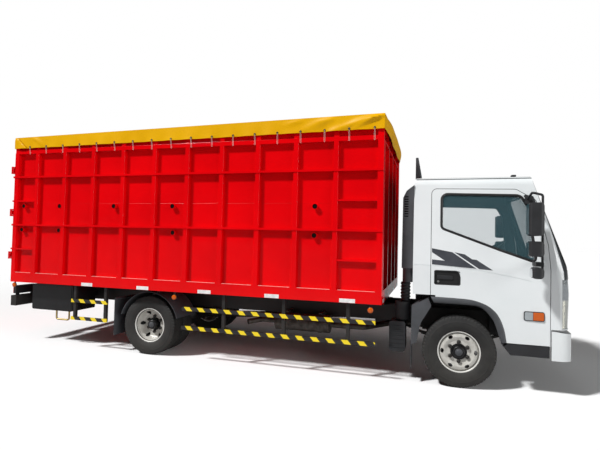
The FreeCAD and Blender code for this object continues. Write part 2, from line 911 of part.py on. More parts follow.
def cab_panels(shell):
    """The shell parted where its pressings meet: back, floor, nose, pillars, rails and roof."""
    rear = cab_rear_x + cab_wall + 2
    front = nose_mid_x + 100
    side = cab_half_width + 100
    floor = tunnel_top_z + cab_wall + 3
    sill = screen_foot_z + 46
    roof = cab_roof_edge_z - roof_panel_depth
    header = roof - 56
    inner = cab_roof_half_width - 85
    rooms = [(cab_rear_x - 100, rear, -side, side, 0, roof), (rear, front, -side, side, 0, floor)]
    rooms += [(rear, front, -side, side, floor, sill), (rear, front, -side, side, sill, header)]
    rooms += [(rear, front, -side, -inner, header, roof), (rear, front, inner, side, header, roof)]
    rooms += [(rear, front, -inner, inner, header, roof)]
    rooms.append((cab_rear_x - 100, front, -side, side, roof, cab_roof_z + 100))
    solids = []
    for room in rooms:
        solids += shell.common(block(*room)).Solids
    return Part.makeCompound(solids)


def cab_glass():
    sheet = cab_body(glass_inset).cut(cab_body(glass_inset + glass_wall))
    return Part.makeCompound([sheet.common(screen_prism(-door_glass_gap)),
                              sheet.common(rear_window_prism(-door_glass_gap))])


def headlamps():
    lamp = headlamp_prism(-1).common(cab_body(3)).cut(cab_body(cab_wall - 8 - seat_gap))
    return pair(lamp)


def dashboard():
    nose = screen_foot_x + 16
    corners = [(dash_rear_x + 60, dash_low_z, 0), (dash_rear_x, dash_top_z - 130, 30), (dash_rear_x, dash_top_z, 40)]
    corners += [(nose, dash_top_z + 60, 0), (nose, dash_low_z, 0)]
    return side_plate(corners, -dash_half_width, dash_half_width).common(cab_body(cab_wall + seat_gap))


def seats():
    """A cushion and a leaning backrest on each side, as plain forms."""
    front = seat_rear_x + seat_length
    face = seat_rear_x + seat_back_depth
    base = [(seat_rear_x + 10, seat_low_z, 0), (front - 30, seat_low_z, 0), (front, seat_top_z, 50)]
    base.append((seat_rear_x, seat_top_z, 0))
    back = [(seat_rear_x, seat_top_z, 0), (face, seat_top_z, 0), (face - seat_lean, seat_back_top_z, 40)]
    back.append((seat_rear_x - 30, seat_back_top_z, 40))
    pieces = []
    for corners in (base, back):
        pieces.append(side_plate(corners, seat_y - seat_half_width, seat_y + seat_half_width))
    return Part.makeCompound(pieces + [mirrored(piece) for piece in pieces])


def snorkel():
    """The air duct on the cab's back: louvred behind, over a round pipe to the bellows."""
    wall = cab_rear_x - seat_gap
    corners = [(wall, snorkel_foot_z, 0), (wall, snorkel_top_z, 0), (snorkel_rear_x + 45, snorkel_top_z - 65, 40)]
    corners += [(snorkel_rear_x + 6, snorkel_top_z - 145, 60), (snorkel_rear_x, snorkel_foot_z, 0)]
    duct = side_plate(corners, snorkel_outer_y, snorkel_inner_y)
    for i in range(louvre_count):
        low = snorkel_foot_z + 60 + louvre_pitch * i
        slot = block(snorkel_rear_x - 20, snorkel_rear_x + louvre_depth, snorkel_outer_y + 14,
                     snorkel_inner_y - 14, low, low + louvre_height)
        duct = duct.cut(slot)
    low = bellows_top_z + seat_gap
    foot = Part.makeCylinder(snorkel_pipe_radius, snorkel_foot_z + 1 - low, Vector(bellows_x + 22, intake_y, low))
    return duct.fuse(foot)


def roof_deflector():
    """A tapered fin that stands across the roof's rear edge."""
    front = deflector_rear_x + deflector_foot_depth
    foot = cab_roof_edge_z
    corners = [(deflector_rear_x, foot, 0), (deflector_rear_x, deflector_top_z, 8)]
    corners += [(deflector_rear_x + deflector_top_depth, deflector_top_z, 8), (front, foot, 0)]
    return side_plate(corners, -deflector_half_width, deflector_half_width).cut(cab_body(0))


def cab_step():
    corners = [(437, 484, 0), (505, 404, 0), (871, 404, 0), (871, 519.7, 0), (480, 519.7, 0)]
    return side_plate(corners, -992, -800)


def mirror_housing(low, high, deep, back):
    """One mirror: a rounded shell whose front is crowned and whose glass faces back."""
    rear = mirror_rear_x + back
    corners = [(rear, low, 30), (rear, high, 30), (mirror_arm_x, high, 45), (mirror_arm_x, low, 45)]
    case = side_plate(corners, -mirror_out_y - 1, deep - mirror_out_y + 1)
    front = mirror_arm_x + 1
    crown = plan_plate([(rear - 1, -mirror_out_y, 30), (rear - 1, deep - mirror_out_y, 30),
                        (front, deep - mirror_out_y, 45), (front, -mirror_out_y, 45)], low - 1, high + 1)
    return case.common(crown)


def mirror():
    """The right mirrors: two stacked housings and a small one, on a bent tube."""
    y = -mirror_arm_y
    top = mirror_head_z + 65
    arm = bent_pipe([Vector(mirror_head_x, 40 - mirror_head_y, mirror_head_z), Vector(mirror_head_x, y, top),
                     Vector(mirror_arm_x, y, top - 25), Vector(mirror_arm_x, y, mirror_foot_z - 55)],
                    mirror_tube_radius, 22)
    pieces = [arm]
    for low, high, deep, back in mirror_housings:
        pieces.append(mirror_housing(low, high, deep, back))
    pieces.append(block(mirror_arm_x - 60, mirror_arm_x + 12, y - 12, 60 - cab_half_width,
                        mirror_foot_z, mirror_foot_z + 40))
    pieces.append(block(mirror_head_x - 27, mirror_head_x + 27, -mirror_head_y - 34, 60 - mirror_head_y,
                        mirror_head_z - 32, mirror_head_z + 32))
    return joined(pieces).cut(cab_body(0))


# Chassis

def frame_rail():
    """The left rail, a channel open inwards."""
    outer = frame_half_width
    web = block(frame_rear_x, frame_front_x, outer - rail_wall, outer, frame_bottom_z, frame_top_z)
    low = block(frame_rear_x, frame_front_x, outer - rail_flange, outer, frame_bottom_z, frame_bottom_z + rail_wall)
    high = block(frame_rear_x, frame_front_x, outer - rail_flange, outer, frame_top_z - rail_wall, frame_top_z)
    return joined([web, low, high])


def cross_members():
    inner = frame_half_width - rail_wall
    high = frame_top_z - rail_wall
    members = []
    for x in member_places:
        members.append(block(x - member_depth / 2, x + member_depth / 2, -inner, inner, high - member_height, high))
    return Part.makeCompound(members)


def tilt_bracket():
    """Ears and pin on the left rail's front end."""
    low = tilt_y - tilt_eye_width / 2 - tilt_ear - 1
    long = tilt_eye_width + 2 * tilt_ear + 2
    pieces = [Part.makeCylinder(tilt_pin_radius, long, Vector(tilt_x, low, tilt_z), Vector(0, 1, 0))]
    for y in (low, tilt_y + tilt_eye_width / 2 + 1):
        ear = side_plate([(frame_front_x, 600, 0), (tilt_x, tilt_z - 24, 20), (tilt_x + 22, tilt_z, 20),
                          (tilt_x, tilt_z + 24, 20), (frame_front_x, 690, 0)], y, y + tilt_ear)
        pieces.append(ear)
    pieces.append(block(frame_front_x, frame_front_x + 10, low, tilt_y + tilt_eye_width / 2 + 1 + tilt_ear, 590, 700))
    return joined(pieces)


def rear_cab_hoop():
    """A hoop over the gearbox that the back of the cab rests on."""
    x = cab_rear_x + 12
    half = frame_half_width + 55
    high = cab_rear_bottom_z - hoop_pad
    low = high - hoop_depth
    pieces = [block(x, x + hoop_width, -half, half, low, high)]
    for side in (-1, 1):
        leg = min(side * (frame_half_width - 30), side * (frame_half_width + 30))
        pieces.append(block(x, x + hoop_width, leg, leg + 60, frame_top_z, low))
        pad = min(side * (half - 70), side * half)
        pieces.append(block(x + 5, x + hoop_width - 5, pad, pad + 70, high, cab_rear_bottom_z - seat_gap))
    return joined(pieces)


def cab_supports():
    return Part.makeCompound([tilt_bracket(), mirrored(tilt_bracket()), rear_cab_hoop()])


def engine():
    pieces = [block(engine_rear_x, engine_front_x, -engine_half_width, engine_half_width,
                    engine_bottom_z, engine_top_z)]
    pieces.append(block(gearbox_rear_x, engine_rear_x, -gearbox_half_width, gearbox_half_width,
                        engine_bottom_z, gearbox_top_z))
    inner = frame_half_width - rail_wall
    for x in (-250.0, 200.0):
        pieces.append(block(x, x + 90, -inner, inner, 640, 700))
    return joined(pieces)


def spring_leaf(x, reach, top_z, drop, half):
    """One leaf: an arc band that dips to top_z at the axle, moved down by drop, cut off at half."""
    ends = spring_end_z - drop
    thick = Vector(0, 0, leaf_thickness)
    top = [Vector(x - reach, 0, ends), Vector(x, 0, top_z - drop), Vector(x + reach, 0, ends)]
    under = [point - thick for point in top]
    edges = [Part.Arc(*top).toShape(), Part.LineSegment(top[2], under[2]).toShape()]
    edges += [Part.Arc(*under).toShape(), Part.LineSegment(under[0], top[0]).toShape()]
    face = Part.Face(Part.Wire(Part.__sortEdges__(edges)))
    face.translate(Vector(0, spring_y - spring_width / 2, 0))
    band = face.extrude(Vector(0, spring_width, 0))
    if half < reach:
        band = band.common(block(x - half, x + half, 0, frame_half_width * 2, 0, frame_top_z))
    return band


def leaf_spring(x, reach, seat_z, clamp, foot_z):
    """The left stack: leaves that shorten downwards, clamped to the axle by two U-bolts."""
    top_z = seat_z + spring_stack
    pieces = []
    for i in range(leaf_count):
        pieces.append(spring_leaf(x, reach, top_z, leaf_thickness * i, reach * (1 - 0.17 * i)))
    inner = spring_y - spring_width / 2
    outer = spring_y + spring_width / 2
    for end in (x - reach, x + reach):
        hanger = [(end - 60, frame_bottom_z, 0), (end + 60, frame_bottom_z, 0), (end + 30, spring_end_z - 34, 22)]
        hanger.append((end - 30, spring_end_z - 34, 22))
        pieces.append(side_plate(hanger, inner, outer))
    reach_y = clamp_bolt_radius * 2 + 4
    for low in (top_z, foot_z - clamp_plate):
        pieces.append(block(x - clamp - 16, x + clamp + 16, inner - reach_y, outer + reach_y, low, low + clamp_plate))
    for bolt_x in (x - clamp, x + clamp):
        for y in (inner - clamp_bolt_radius - 2, outer + clamp_bolt_radius + 2):
            start = Vector(bolt_x, y, foot_z - clamp_plate - 14)
            pieces.append(rod(start, Vector(bolt_x, y, top_z + clamp_plate + 14), clamp_bolt_radius))
    return joined(pieces)


def leaf_springs():
    beam_z = axle_z - beam_drop
    front = leaf_spring(0, front_spring_reach, beam_z + beam_half_height, beam_half_depth + 8,
                        beam_z - beam_half_height)
    rear = leaf_spring(rear_axle_x, rear_spring_reach, axle_z + rear_tube_radius, rear_tube_radius + 10,
                       axle_z - rear_tube_radius)
    return Part.makeCompound([front, mirrored(front), rear, mirrored(rear)])


def front_axle():
    """A dropped beam with an eye and a kingpin at each end."""
    h = beam_half_height
    low = axle_z - beam_drop
    inner = 470.0
    outer = 600.0
    corners = [(-kingpin_y, axle_z - h, 0), (-outer, axle_z - h, 60), (-inner, low - h, 60), (inner, low - h, 60)]
    corners += [(outer, axle_z - h, 60), (kingpin_y, axle_z - h, 0), (kingpin_y, axle_z + h, 0)]
    corners += [(outer, axle_z + h, 60), (inner, low + h, 60), (-inner, low + h, 60), (-outer, axle_z + h, 60)]
    corners += [(-kingpin_y, axle_z + h, 0)]
    beam = cross_plate(corners, -beam_half_depth + 8, beam_half_depth - 8)
    pieces = [beam]
    for side in (-1, 1):
        y = side * kingpin_y
        pieces.append(Part.makeCylinder(ear_radius - 2, 2 * axle_eye_half, Vector(0, y, axle_z - axle_eye_half)))
        pieces.append(Part.makeCylinder(kingpin_radius, 2 * kingpin_half, Vector(0, y, axle_z - kingpin_half)))
    return joined(pieces)


def knuckle():
    """The left stub axle: two ears on the kingpin, a spindle and a steering arm."""
    gap = axle_eye_half + seat_gap
    pieces = []
    for low in (axle_z + gap, axle_z - gap - ear_thickness):
        pieces.append(Part.makeCylinder(ear_radius, ear_thickness, Vector(0, kingpin_y, low)))
        pieces.append(block(-ear_radius, ear_radius, kingpin_y, kingpin_y + 60, low, low + ear_thickness))
    high = gap + ear_thickness
    pieces.append(block(-ear_radius, ear_radius, kingpin_y + 43, kingpin_y + 68, axle_z - high, axle_z + high))
    tip = front_tyre_face - rim_set - hub_bore_depth - 3
    pieces.append(rod(Vector(0, kingpin_y + 60, axle_z), Vector(0, tip, axle_z), spindle_radius))
    arm_low = axle_z - gap - ear_thickness
    pieces.append(block(-steer_arm_length, 0, kingpin_y - 20, kingpin_y + 20, arm_low, arm_low + 22))
    pieces.append(Part.makeCylinder(22, 22, Vector(-steer_arm_length, kingpin_y, arm_low)))
    body = joined(pieces)
    bore = Part.makeCylinder(kingpin_radius + running_gap, 400, Vector(0, kingpin_y, axle_z - 200))
    eye = Part.makeCylinder(ball_pin_radius + running_gap, 60, Vector(-steer_arm_length, kingpin_y, arm_low - 10))
    return body.cut(bore).cut(eye)


def tie_rod():
    arm_low = axle_z - axle_eye_half - seat_gap - ear_thickness
    z = arm_low - tie_rod_radius - 6
    bar = rod(Vector(-steer_arm_length, -kingpin_y, z), Vector(-steer_arm_length, kingpin_y, z), tie_rod_radius)
    pieces = [bar]
    for side in (-1, 1):
        y = side * kingpin_y
        pieces.append(Part.makeCylinder(22, tie_rod_radius * 2, Vector(-steer_arm_length, y, z - tie_rod_radius)))
        pieces.append(Part.makeCylinder(ball_pin_radius, arm_low + 22 - z, Vector(-steer_arm_length, y, z)))
    return joined(pieces)


def rear_axle():
    """The live axle with its differential, and the shaft that drives it."""
    inner = rear_tyre_face - 2 * tyre_width - twin_gap
    tube = rod(Vector(rear_axle_x, -inner + 30, axle_z), Vector(rear_axle_x, inner - 30, axle_z), rear_tube_radius)
    globe = Part.makeSphere(differential_radius, Vector(rear_axle_x, 0, axle_z))
    nose = rod(Vector(rear_axle_x, 0, axle_z), Vector(rear_axle_x + 300, 0, axle_z + 12), 60)
    stub_end = rear_tyre_face - rim_set - rear_bore_depth - 3
    spindle = rod(Vector(rear_axle_x, -stub_end, axle_z), Vector(rear_axle_x, stub_end, axle_z), spindle_radius + 8)
    shaft_end = Vector(gearbox_rear_x - shaft_gap, 0, frame_bottom_z)
    shaft = rod(Vector(rear_axle_x + 280, 0, axle_z + 12), shaft_end, shaft_radius)
    return joined([tube, globe, nose, spindle, shaft])


def exhaust():
    """Silencer on the right, its front pipe from the engine and its tail pipe."""
    y = silencer_y
    z = silencer_z
    pieces = [rod(Vector(silencer_rear_x, y, z), Vector(silencer_front_x, y, z), silencer_radius)]
    entry = Vector(engine_rear_x, 50 - engine_half_width, engine_bottom_z + 55)
    pieces.append(bent_pipe([entry, entry - Vector(320, 0, 0), Vector(silencer_front_x + 427, y, z),
                             Vector(silencer_front_x - 40, y, z)], front_pipe_radius, 90))
    pieces.append(bent_pipe([Vector(silencer_rear_x + 34, y, z), Vector(silencer_rear_x - 206, y, z),
                             Vector(silencer_rear_x - 346, y - 140, z - 20)], tail_pipe_radius, 60))
    for x in (silencer_front_x - strap_inset, silencer_rear_x + strap_inset):
        half = strap_width / 2
        pieces.append(rod(Vector(x - half, y, z), Vector(x + half, y, z), silencer_radius + strap_wall))
        pieces.append(block(x - half, x + half, y, -frame_half_width, z + 90, z + 130))
    return joined(pieces)


def bellows():
    """A convoluted hose: rings of one radius with sharp grooves between them."""
    low = canister_low_z + canister_height
    pitch = (bellows_top_z - low) / bellows_rings
    corners = [(0, low), (bellows_radius - bellows_groove, low)]
    for i in range(bellows_rings):
        corners.append((bellows_radius, low + pitch * (i + 0.5)))
        corners.append((bellows_radius - bellows_groove, low + pitch * (i + 1)))
    corners.append((0, bellows_top_z))
    outline = [Vector(bellows_x + r, intake_y, z) for r, z in corners]
    face = Part.Face(Part.makePolygon(outline + [outline[0]]))
    return face.revolve(Vector(bellows_x, intake_y, low), Vector(0, 0, 1), 360)


def air_cleaner():
    """Bellows, canister and a ribbed side box behind the cab, on the right."""
    can = Part.makeCylinder(canister_radius, canister_height, Vector(canister_x, intake_y, canister_low_z))
    low = side_box_high_z - 64
    box = [(side_box_rear_x, side_box_low_z, 30), (side_box_rear_x, side_box_high_z, 30)]
    box += [(side_box_front_x, side_box_high_z, 30), (side_box_front_x, side_box_low_z, 30)]
    pieces = [bellows(), can, side_plate(box, side_box_outer_y, side_box_inner_y)]
    pitch = (side_box_high_z - side_box_low_z - 60) / side_box_ribs
    for i in range(side_box_ribs):
        z = side_box_low_z + 30 + pitch * (i + 0.5)
        pieces.append(block(side_box_rear_x + 16, side_box_front_x - 16, side_box_outer_y - 6,
                            side_box_outer_y, z - side_box_rib / 2, z + side_box_rib / 2))
    pieces.append(block(-640, -570, intake_y, -frame_half_width, canister_low_z + 20, canister_low_z + 60))
    pieces.append(block(-680, -640, side_box_inner_y - 60, -frame_half_width, low, low + 60))
    pieces.append(block(-640, -575, intake_y - 35, intake_y + 35, side_box_high_z - 4, canister_low_z + 10))
    return joined(pieces)


def side_arm(x, inner, outer):
    """A short bracket out from the left rail's web."""
    low = frame_bottom_z + side_arm_set
    return block(x - side_arm_width / 2, x + side_arm_width / 2, inner, outer, low, low + side_arm_height)


def fuel_tank():
    """A round-edged tank beside the left rail, strapped to two brackets."""
    inner = frame_half_width + tank_gap
    outer = inner + tank_width
    high = tank_bottom_z + tank_height
    corners = [(inner, tank_bottom_z, tank_corner), (inner, high, tank_corner)]
    corners += [(outer, high, tank_corner), (outer, tank_bottom_z, tank_corner)]
    pieces = [cross_plate(corners, tank_rear_x, tank_front_x)]
    for x in (tank_front_x - 200, tank_rear_x + 200):
        strap = shrink(cross_face(corners, x - tank_strap_width / 2), -tank_strap_wall)
        pieces.append(strap.extrude(Vector(tank_strap_width, 0, 0)))
        pieces.append(side_arm(x, frame_half_width, inner + 50))
    filler = Part.makeCylinder(45, 40, Vector(tank_front_x - 100, outer - tank_corner - 50, high))
    return joined(pieces + [filler])


def battery_box():
    inner = frame_half_width + battery_gap
    rear = battery_front_x - battery_length
    top = battery_bottom_z + battery_height
    case = block(rear, battery_front_x, inner, inner + battery_width, battery_bottom_z, top)
    lid = block(rear - 8, battery_front_x + 8, inner - 8, inner + battery_width + 8, top, top + 30)
    middle = rear + battery_length / 2
    return joined([case, lid, side_arm(middle, frame_half_width, inner)])


def side_guards():
    """Flat rails along each side, two ahead of the rear wheels and two behind them."""
    rails = []
    half = guard_rail_height / 2
    for front, rear in guard_spans:
        for z in guard_rail_zs:
            rails.append(side_plate([(rear, z - half, 6), (rear, z + half, 6), (front, z + half, 6),
                                     (front, z - half, 6)], guard_y, guard_y + guard_rail_wall))
    return Part.makeCompound(rails + [mirrored(r) for r in rails])


def guard_posts():
    """Posts that hang from the side walls and carry the guard rails."""
    foot = guard_rail_zs[0] - guard_rail_height / 2
    half = guard_post / 2
    posts = [block(x - half, x + half, guard_y - guard_post, guard_y, foot, bottom_rail_z) for x in guard_post_xs]
    return Part.makeCompound(posts + [mirrored(p) for p in posts])


def underrun_bar():
    """The bar across the rear, on two arms under the frame rails."""
    rear = rear_axle_x - rear_overhang
    front = rear + underrun_depth
    high = underrun_low_z + underrun_height
    pieces = [block(rear, front, -underrun_half_width, underrun_half_width, underrun_low_z, high)]
    for side in (-1, 1):
        low = min(side * (frame_half_width - underrun_arm), side * frame_half_width)
        pieces.append(block(front, frame_rear_x + 100, low, low + underrun_arm, underrun_low_z, frame_bottom_z))
    return joined(pieces)


def rear_lamp():
    """The left cluster: a housing with three round lenses, on two feet on the underrun bar."""
    rear = rear_axle_x - rear_overhang + lens_proud + 8
    top = lamp_low_z + lamp_height
    corners = [(lamp_inner_y, lamp_low_z, 16), (lamp_inner_y, top, 16), (lamp_outer_y, top, 16)]
    corners.append((lamp_outer_y, lamp_low_z, 16))
    pieces = [cross_plate(corners, rear, rear + lamp_depth)]
    pitch = (lamp_outer_y - lamp_inner_y) / 3
    for i in range(3):
        centre = Vector(rear - lens_proud, lamp_inner_y + pitch * (i + 0.5), lamp_low_z + lamp_height / 2)
        pieces.append(Part.makeCylinder(lens_radius, lens_proud + 5, centre, Vector(1, 0, 0)))
    for y in (lamp_inner_y + 50, lamp_outer_y - 50):
        foot = underrun_low_z + underrun_height
        pieces.append(block(rear + 10, rear + 40, y - 20, y + 20, foot, lamp_low_z + 10))
    return joined(pieces)


def tool_box():
    """A lidded box on the right, with a step hoop under it."""
    outer = -(body_half_width - tool_box_set_in)
    inner = outer + tool_box_depth
    low = tool_box_bottom_z
    high = low + tool_box_height
    round_edge = tool_box_corner
    corners = [(tool_box_rear_x, low, round_edge), (tool_box_rear_x, high, round_edge)]
    corners += [(tool_box_front_x, high, round_edge), (tool_box_front_x, low, round_edge)]
    case = side_plate(corners, outer, inner)
    lid = shrink(side_face(corners, outer - tool_box_lid_proud), tool_box_lid_border)
    lid = lid.extrude(Vector(0, tool_box_lid_proud, 0))
    y = outer + 40
    hoop = bent_pipe([Vector(step_rear_x, y, low + 10), Vector(step_rear_x, y, step_foot_z),
                      Vector(step_front_x, y, step_foot_z), Vector(step_front_x, y, low + 10)],
                     step_bar_radius, 30)
    arms = []
    for x in (tool_box_rear_x + 160, tool_box_front_x - 150):
        arms.append(mirrored(side_arm(x, frame_half_width, -inner)))
    return joined([case, lid, hoop] + arms)


def rear_mudguard():
    """An arc plate over the left twin tyres, hung from a floor bearer."""
    inner = rear_tyre_face - 2 * tyre_width - twin_gap
    start = Vector(rear_axle_x, inner, axle_z)
    width = rear_tyre_face + 10 - inner
    outer_arc = Part.makeCylinder(guard_radius, width, start, Vector(0, 1, 0))
    inner_arc = Part.makeCylinder(guard_radius - guard_wall, width, start, Vector(0, 1, 0))
    keep = block(rear_axle_x - 500, rear_axle_x + 500, 500, 1100, axle_z + 120, 1000)
    pieces = [outer_arc.cut(inner_arc).common(keep)]
    x = rib_places()[5]
    for y in (inner + 60, rear_tyre_face - 80):
        post = block(x - 20, x + 20, y - 20, y + 20, axle_z + guard_radius - 40, bottom_rail_z)
        pieces.append(post.cut(Part.makeCylinder(guard_radius - guard_wall, width, start, Vector(0, 1, 0))))
    return joined(pieces)


def rear_flap():
    """The flap behind the left twin tyres, hung from a tube on the frame rail."""
    inner = rear_tyre_face - 2 * tyre_width - twin_gap
    outer = rear_tyre_face + 10
    z = rear_flap_top_z - flap_tube_radius
    x = rear_flap_x + flap_tube_radius
    tube = rod(Vector(x, frame_half_width, z), Vector(x, outer, z), flap_tube_radius)
    sheet = block(rear_flap_x, rear_flap_x + guard_wall, inner, outer, rear_flap_low_z, rear_flap_top_z)
    return joined([tube, sheet])


def front_mudguard():
    """The panel behind the right front wheel: a side skin, an arch plate and a flap."""
    outline = [(-290, 860, 30), (-325, 948, 0), (-500, 846, 0), (-505, 420, 0), (-445, 450, 60), (-400, 670, 100)]
    face = side_face(outline, -985)
    skin = face.extrude(Vector(0, guard_wall, 0))
    web = face.cut(shrink(side_face(outline, -985), guard_wall)).extrude(Vector(0, 225, 0))
    flap = block(-505, -505 + guard_wall, -985, -760, 160, 430)
    arm = block(-500, -465, -765, -frame_half_width, 620, 680)
    return joined([skin, web, flap, arm])


def mudguards():
    sheets = [rear_mudguard(), rear_flap(), front_mudguard()]
    return Part.makeCompound(sheets + [mirrored(sheet) for sheet in sheets])


def bumper_hull(inset):
    nose = front_overhang
    rear = bumper_rear_x - 60
    corners = [(rear, -990, 0), (nose - 40, -990, 120), (nose, -430, 2600)]
    corners += [(nose, 430, 2600), (nose - 40, 990, 120), (rear, 990, 0)]
    face = shrink(plan_face(corners, bumper_bottom_z - 10), inset)
    return face.extrude(Vector(0, 0, bumper_top_z + 40 - bumper_bottom_z))


def bumper():
    """A shell that wraps the nose, open at the back and held by two brackets."""
    nose = front_overhang
    brow = [(bumper_rear_x, bumper_bottom_z, 0), (bumper_rear_x, bumper_top_z + 14, 0), (925, bumper_top_z + 14, 0)]
    brow += [(nose + 1.5, bumper_top_z - 14, 30), (nose + 1.5, bumper_bottom_z, 30)]
    keep = side_plate(brow, -1100, 1100)
    shell = bumper_hull(0).cut(bumper_hull(bumper_wall)).common(keep)
    side = bumper_slot_half
    slot = [(-side, bumper_slot_low_z, 20), (-side, bumper_slot_high_z, 20), (side, bumper_slot_high_z, 20)]
    shell = shell.cut(cross_plate(slot + [(side, bumper_slot_low_z, 20)], frame_front_x + 30, nose + 20))
    floor = bumper_hull(fog_lamp_depth)
    for y in (-fog_lamp_y, fog_lamp_y):
        pocket = rod(Vector(frame_front_x + 40, y, fog_lamp_z), Vector(nose + 20, y, fog_lamp_z), fog_lamp_radius)
        shell = shell.cut(pocket.cut(floor))
    pieces = [shell]
    for side in (-1, 1):
        low = min(side * 300, side * 370)
        pieces.append(block(frame_front_x, nose - bumper_wall + 8, low, low + 70, 480, 560))
        pieces.append(block(940, frame_front_x, low, low + 70, 480, frame_bottom_z))
    return joined(pieces)


# Wheels

def tyre(face_y):
    """A tyre as a turned ring; face_y is where its outer sidewall lies."""
    w = tyre_width / 2
    r = tyre_radius
    centre = face_y - w
    outline = [(-w * 0.74, bead_radius, 8), (-w, bead_radius + 55, 40), (-w, r - 60, 50), (-w + 10, r - 4, 14)]
    outline += [(0, r, 0), (w - 10, r - 4, 14), (w, r - 60, 50), (w, bead_radius + 55, 40), (w * 0.74, bead_radius, 8)]
    wire = rounded_wire([(Vector(0, centre + y, axle_z + z), rad) for y, z, rad in outline])
    return Part.Face(wire).revolve(Vector(0, 0, axle_z), Vector(0, 1, 0), 360)


def rim_profile(points, face_y):
    wire = rounded_wire([(Vector(0, face_y + y, axle_z + z), rad) for y, z, rad in points])
    return Part.Face(wire).revolve(Vector(0, 0, axle_z), Vector(0, 1, 0), 360)


def hole_ring(count, circle, radius, y0, y1, turn=0.0):
    holes = []
    for i in range(count):
        a = 2 * math.pi * i / count + turn
        start = Vector(circle * math.sin(a), y0, axle_z + circle * math.cos(a))
        holes.append(rod(start, start + Vector(0, y1 - y0, 0), radius))
    return Part.makeCompound(holes)


def front_rim():
    """The left front rim: barrel, bowl with hand holes, hub and nuts."""
    face = front_tyre_face - rim_set
    b = bead_radius - 0.3
    barrel = rim_profile([(-rim_width, b, 0), (0, b, 0), (0, b - 10, 6), (-22, b - 22, 6),
                          (-rim_width + 20, b - 22, 6), (-rim_width, b - 10, 6)], face)
    disc = rim_profile([(-40, b - 20, 0), (-40, b - 8, 0), (-14, b - 30, 0), (-6, hand_hole_circle - 10, 20),
                        (-22, 120, 10), (-22, spindle_radius + 30, 0), (-34, spindle_radius + 30, 0), (-34, 128, 10),
                        (-19, hand_hole_circle - 10, 20), (-28, b - 34, 0)], face)
    holes = hole_ring(6, hand_hole_circle, hand_hole_radius, face - 80, face + 20, math.pi / 6)
    disc = disc.cut(holes)
    hub = rim_profile([(-100, spindle_radius + running_gap, 0), (-100, 95, 6), (-34, 95, 0), (-34, hub_radius, 0),
                       (12, hub_radius - 6, 10), (16, 0, 0), (-hub_bore_depth, 0, 0),
                       (-hub_bore_depth, spindle_radius + running_gap, 0)], face)
    nuts = hole_ring(stud_count, stud_circle_radius, nut_radius, face - 22, face + 4)
    return joined([barrel, disc, hub] + nuts.Solids)


def rear_rim():
    """The left rear pair: two barrels, one dished disc and a long hub."""
    face = rear_tyre_face - rim_set
    b = bead_radius - 0.3
    pitch = tyre_width + twin_gap
    rings = []
    for shift in (0.0, -pitch):
        rings.append(rim_profile([(-rim_width + shift, b, 0), (shift, b, 0), (shift, b - 10, 6), (-22 + shift, b - 22, 6),
                                  (-rim_width + 20 + shift, b - 22, 6), (-rim_width + shift, b - 10, 6)], face))
    seat = b - 19
    dish = rim_profile([(-34, seat, 0), (-118, 172, 30), (-122, 70, 0), (-136, 70, 0), (-136, 150, 0),
                        (-128, 186, 24), (-60, seat, 0)], face)
    back = rim_profile([(-136, 70, 0), (-136, 140, 20), (-pitch - 16, seat, 0), (-pitch - 38, seat, 0),
                        (-152, 146, 20), (-152, 70, 0)], face)
    holes = hole_ring(6, hand_hole_circle - 14, hand_hole_radius, face - 260, face, math.pi / 6)
    r = spindle_radius + 8 + running_gap
    hub = rim_profile([(-240, r, 0), (-240, 110, 10), (-150, 110, 0), (-150, hub_radius, 0), (-40, hub_radius - 6, 14),
                       (-40, 0, 0), (-rear_bore_depth, 0, 0), (-rear_bore_depth, r, 0)], face)
    nuts = hole_ring(stud_count, stud_circle_radius, nut_radius, face - 122, face - 96)
    return joined(rings + [dish.cut(holes), back.cut(holes), hub] + nuts.Solids)


def rear_tyres():
    return Part.makeCompound([tyre(rear_tyre_face), tyre(rear_tyre_face - tyre_width - twin_gap)])


def at_rear_axle(shape):
    shape.translate(Vector(rear_axle_x, 0, 0))
    return shape


def steering_wheel():
    ring = Part.makeTorus(205, 14)
    hub = Part.makeCylinder(52, 34, Vector(0, 0, -40))
    pieces = [hub]
    for a in (90, 210, 330):
        t = math.radians(a)
        out = Vector(198 * math.cos(t), 198 * math.sin(t), 0)
        pieces.append(rod(Vector(0, 0, -25), out, 9))
    wheel = joined([ring] + pieces)
    return wheel


def placed_wheel():
    wheel = steering_wheel()
    wheel.rotate(Vector(0, 0, 0), Vector(0, 1, 0), -steer_tilt)
    wheel.translate(Vector(steer_x, steer_y, steer_z))
    return wheel


def column():
    tilt = math.radians(steer_tilt)
    down = Vector(math.sin(tilt), 0, -math.cos(tilt))
    hub = Vector(steer_x, steer_y, steer_z)
    return rod(hub + down * 41, hub + down * 470, 34)


def dash_with_column():
    return dashboard().fuse(column())


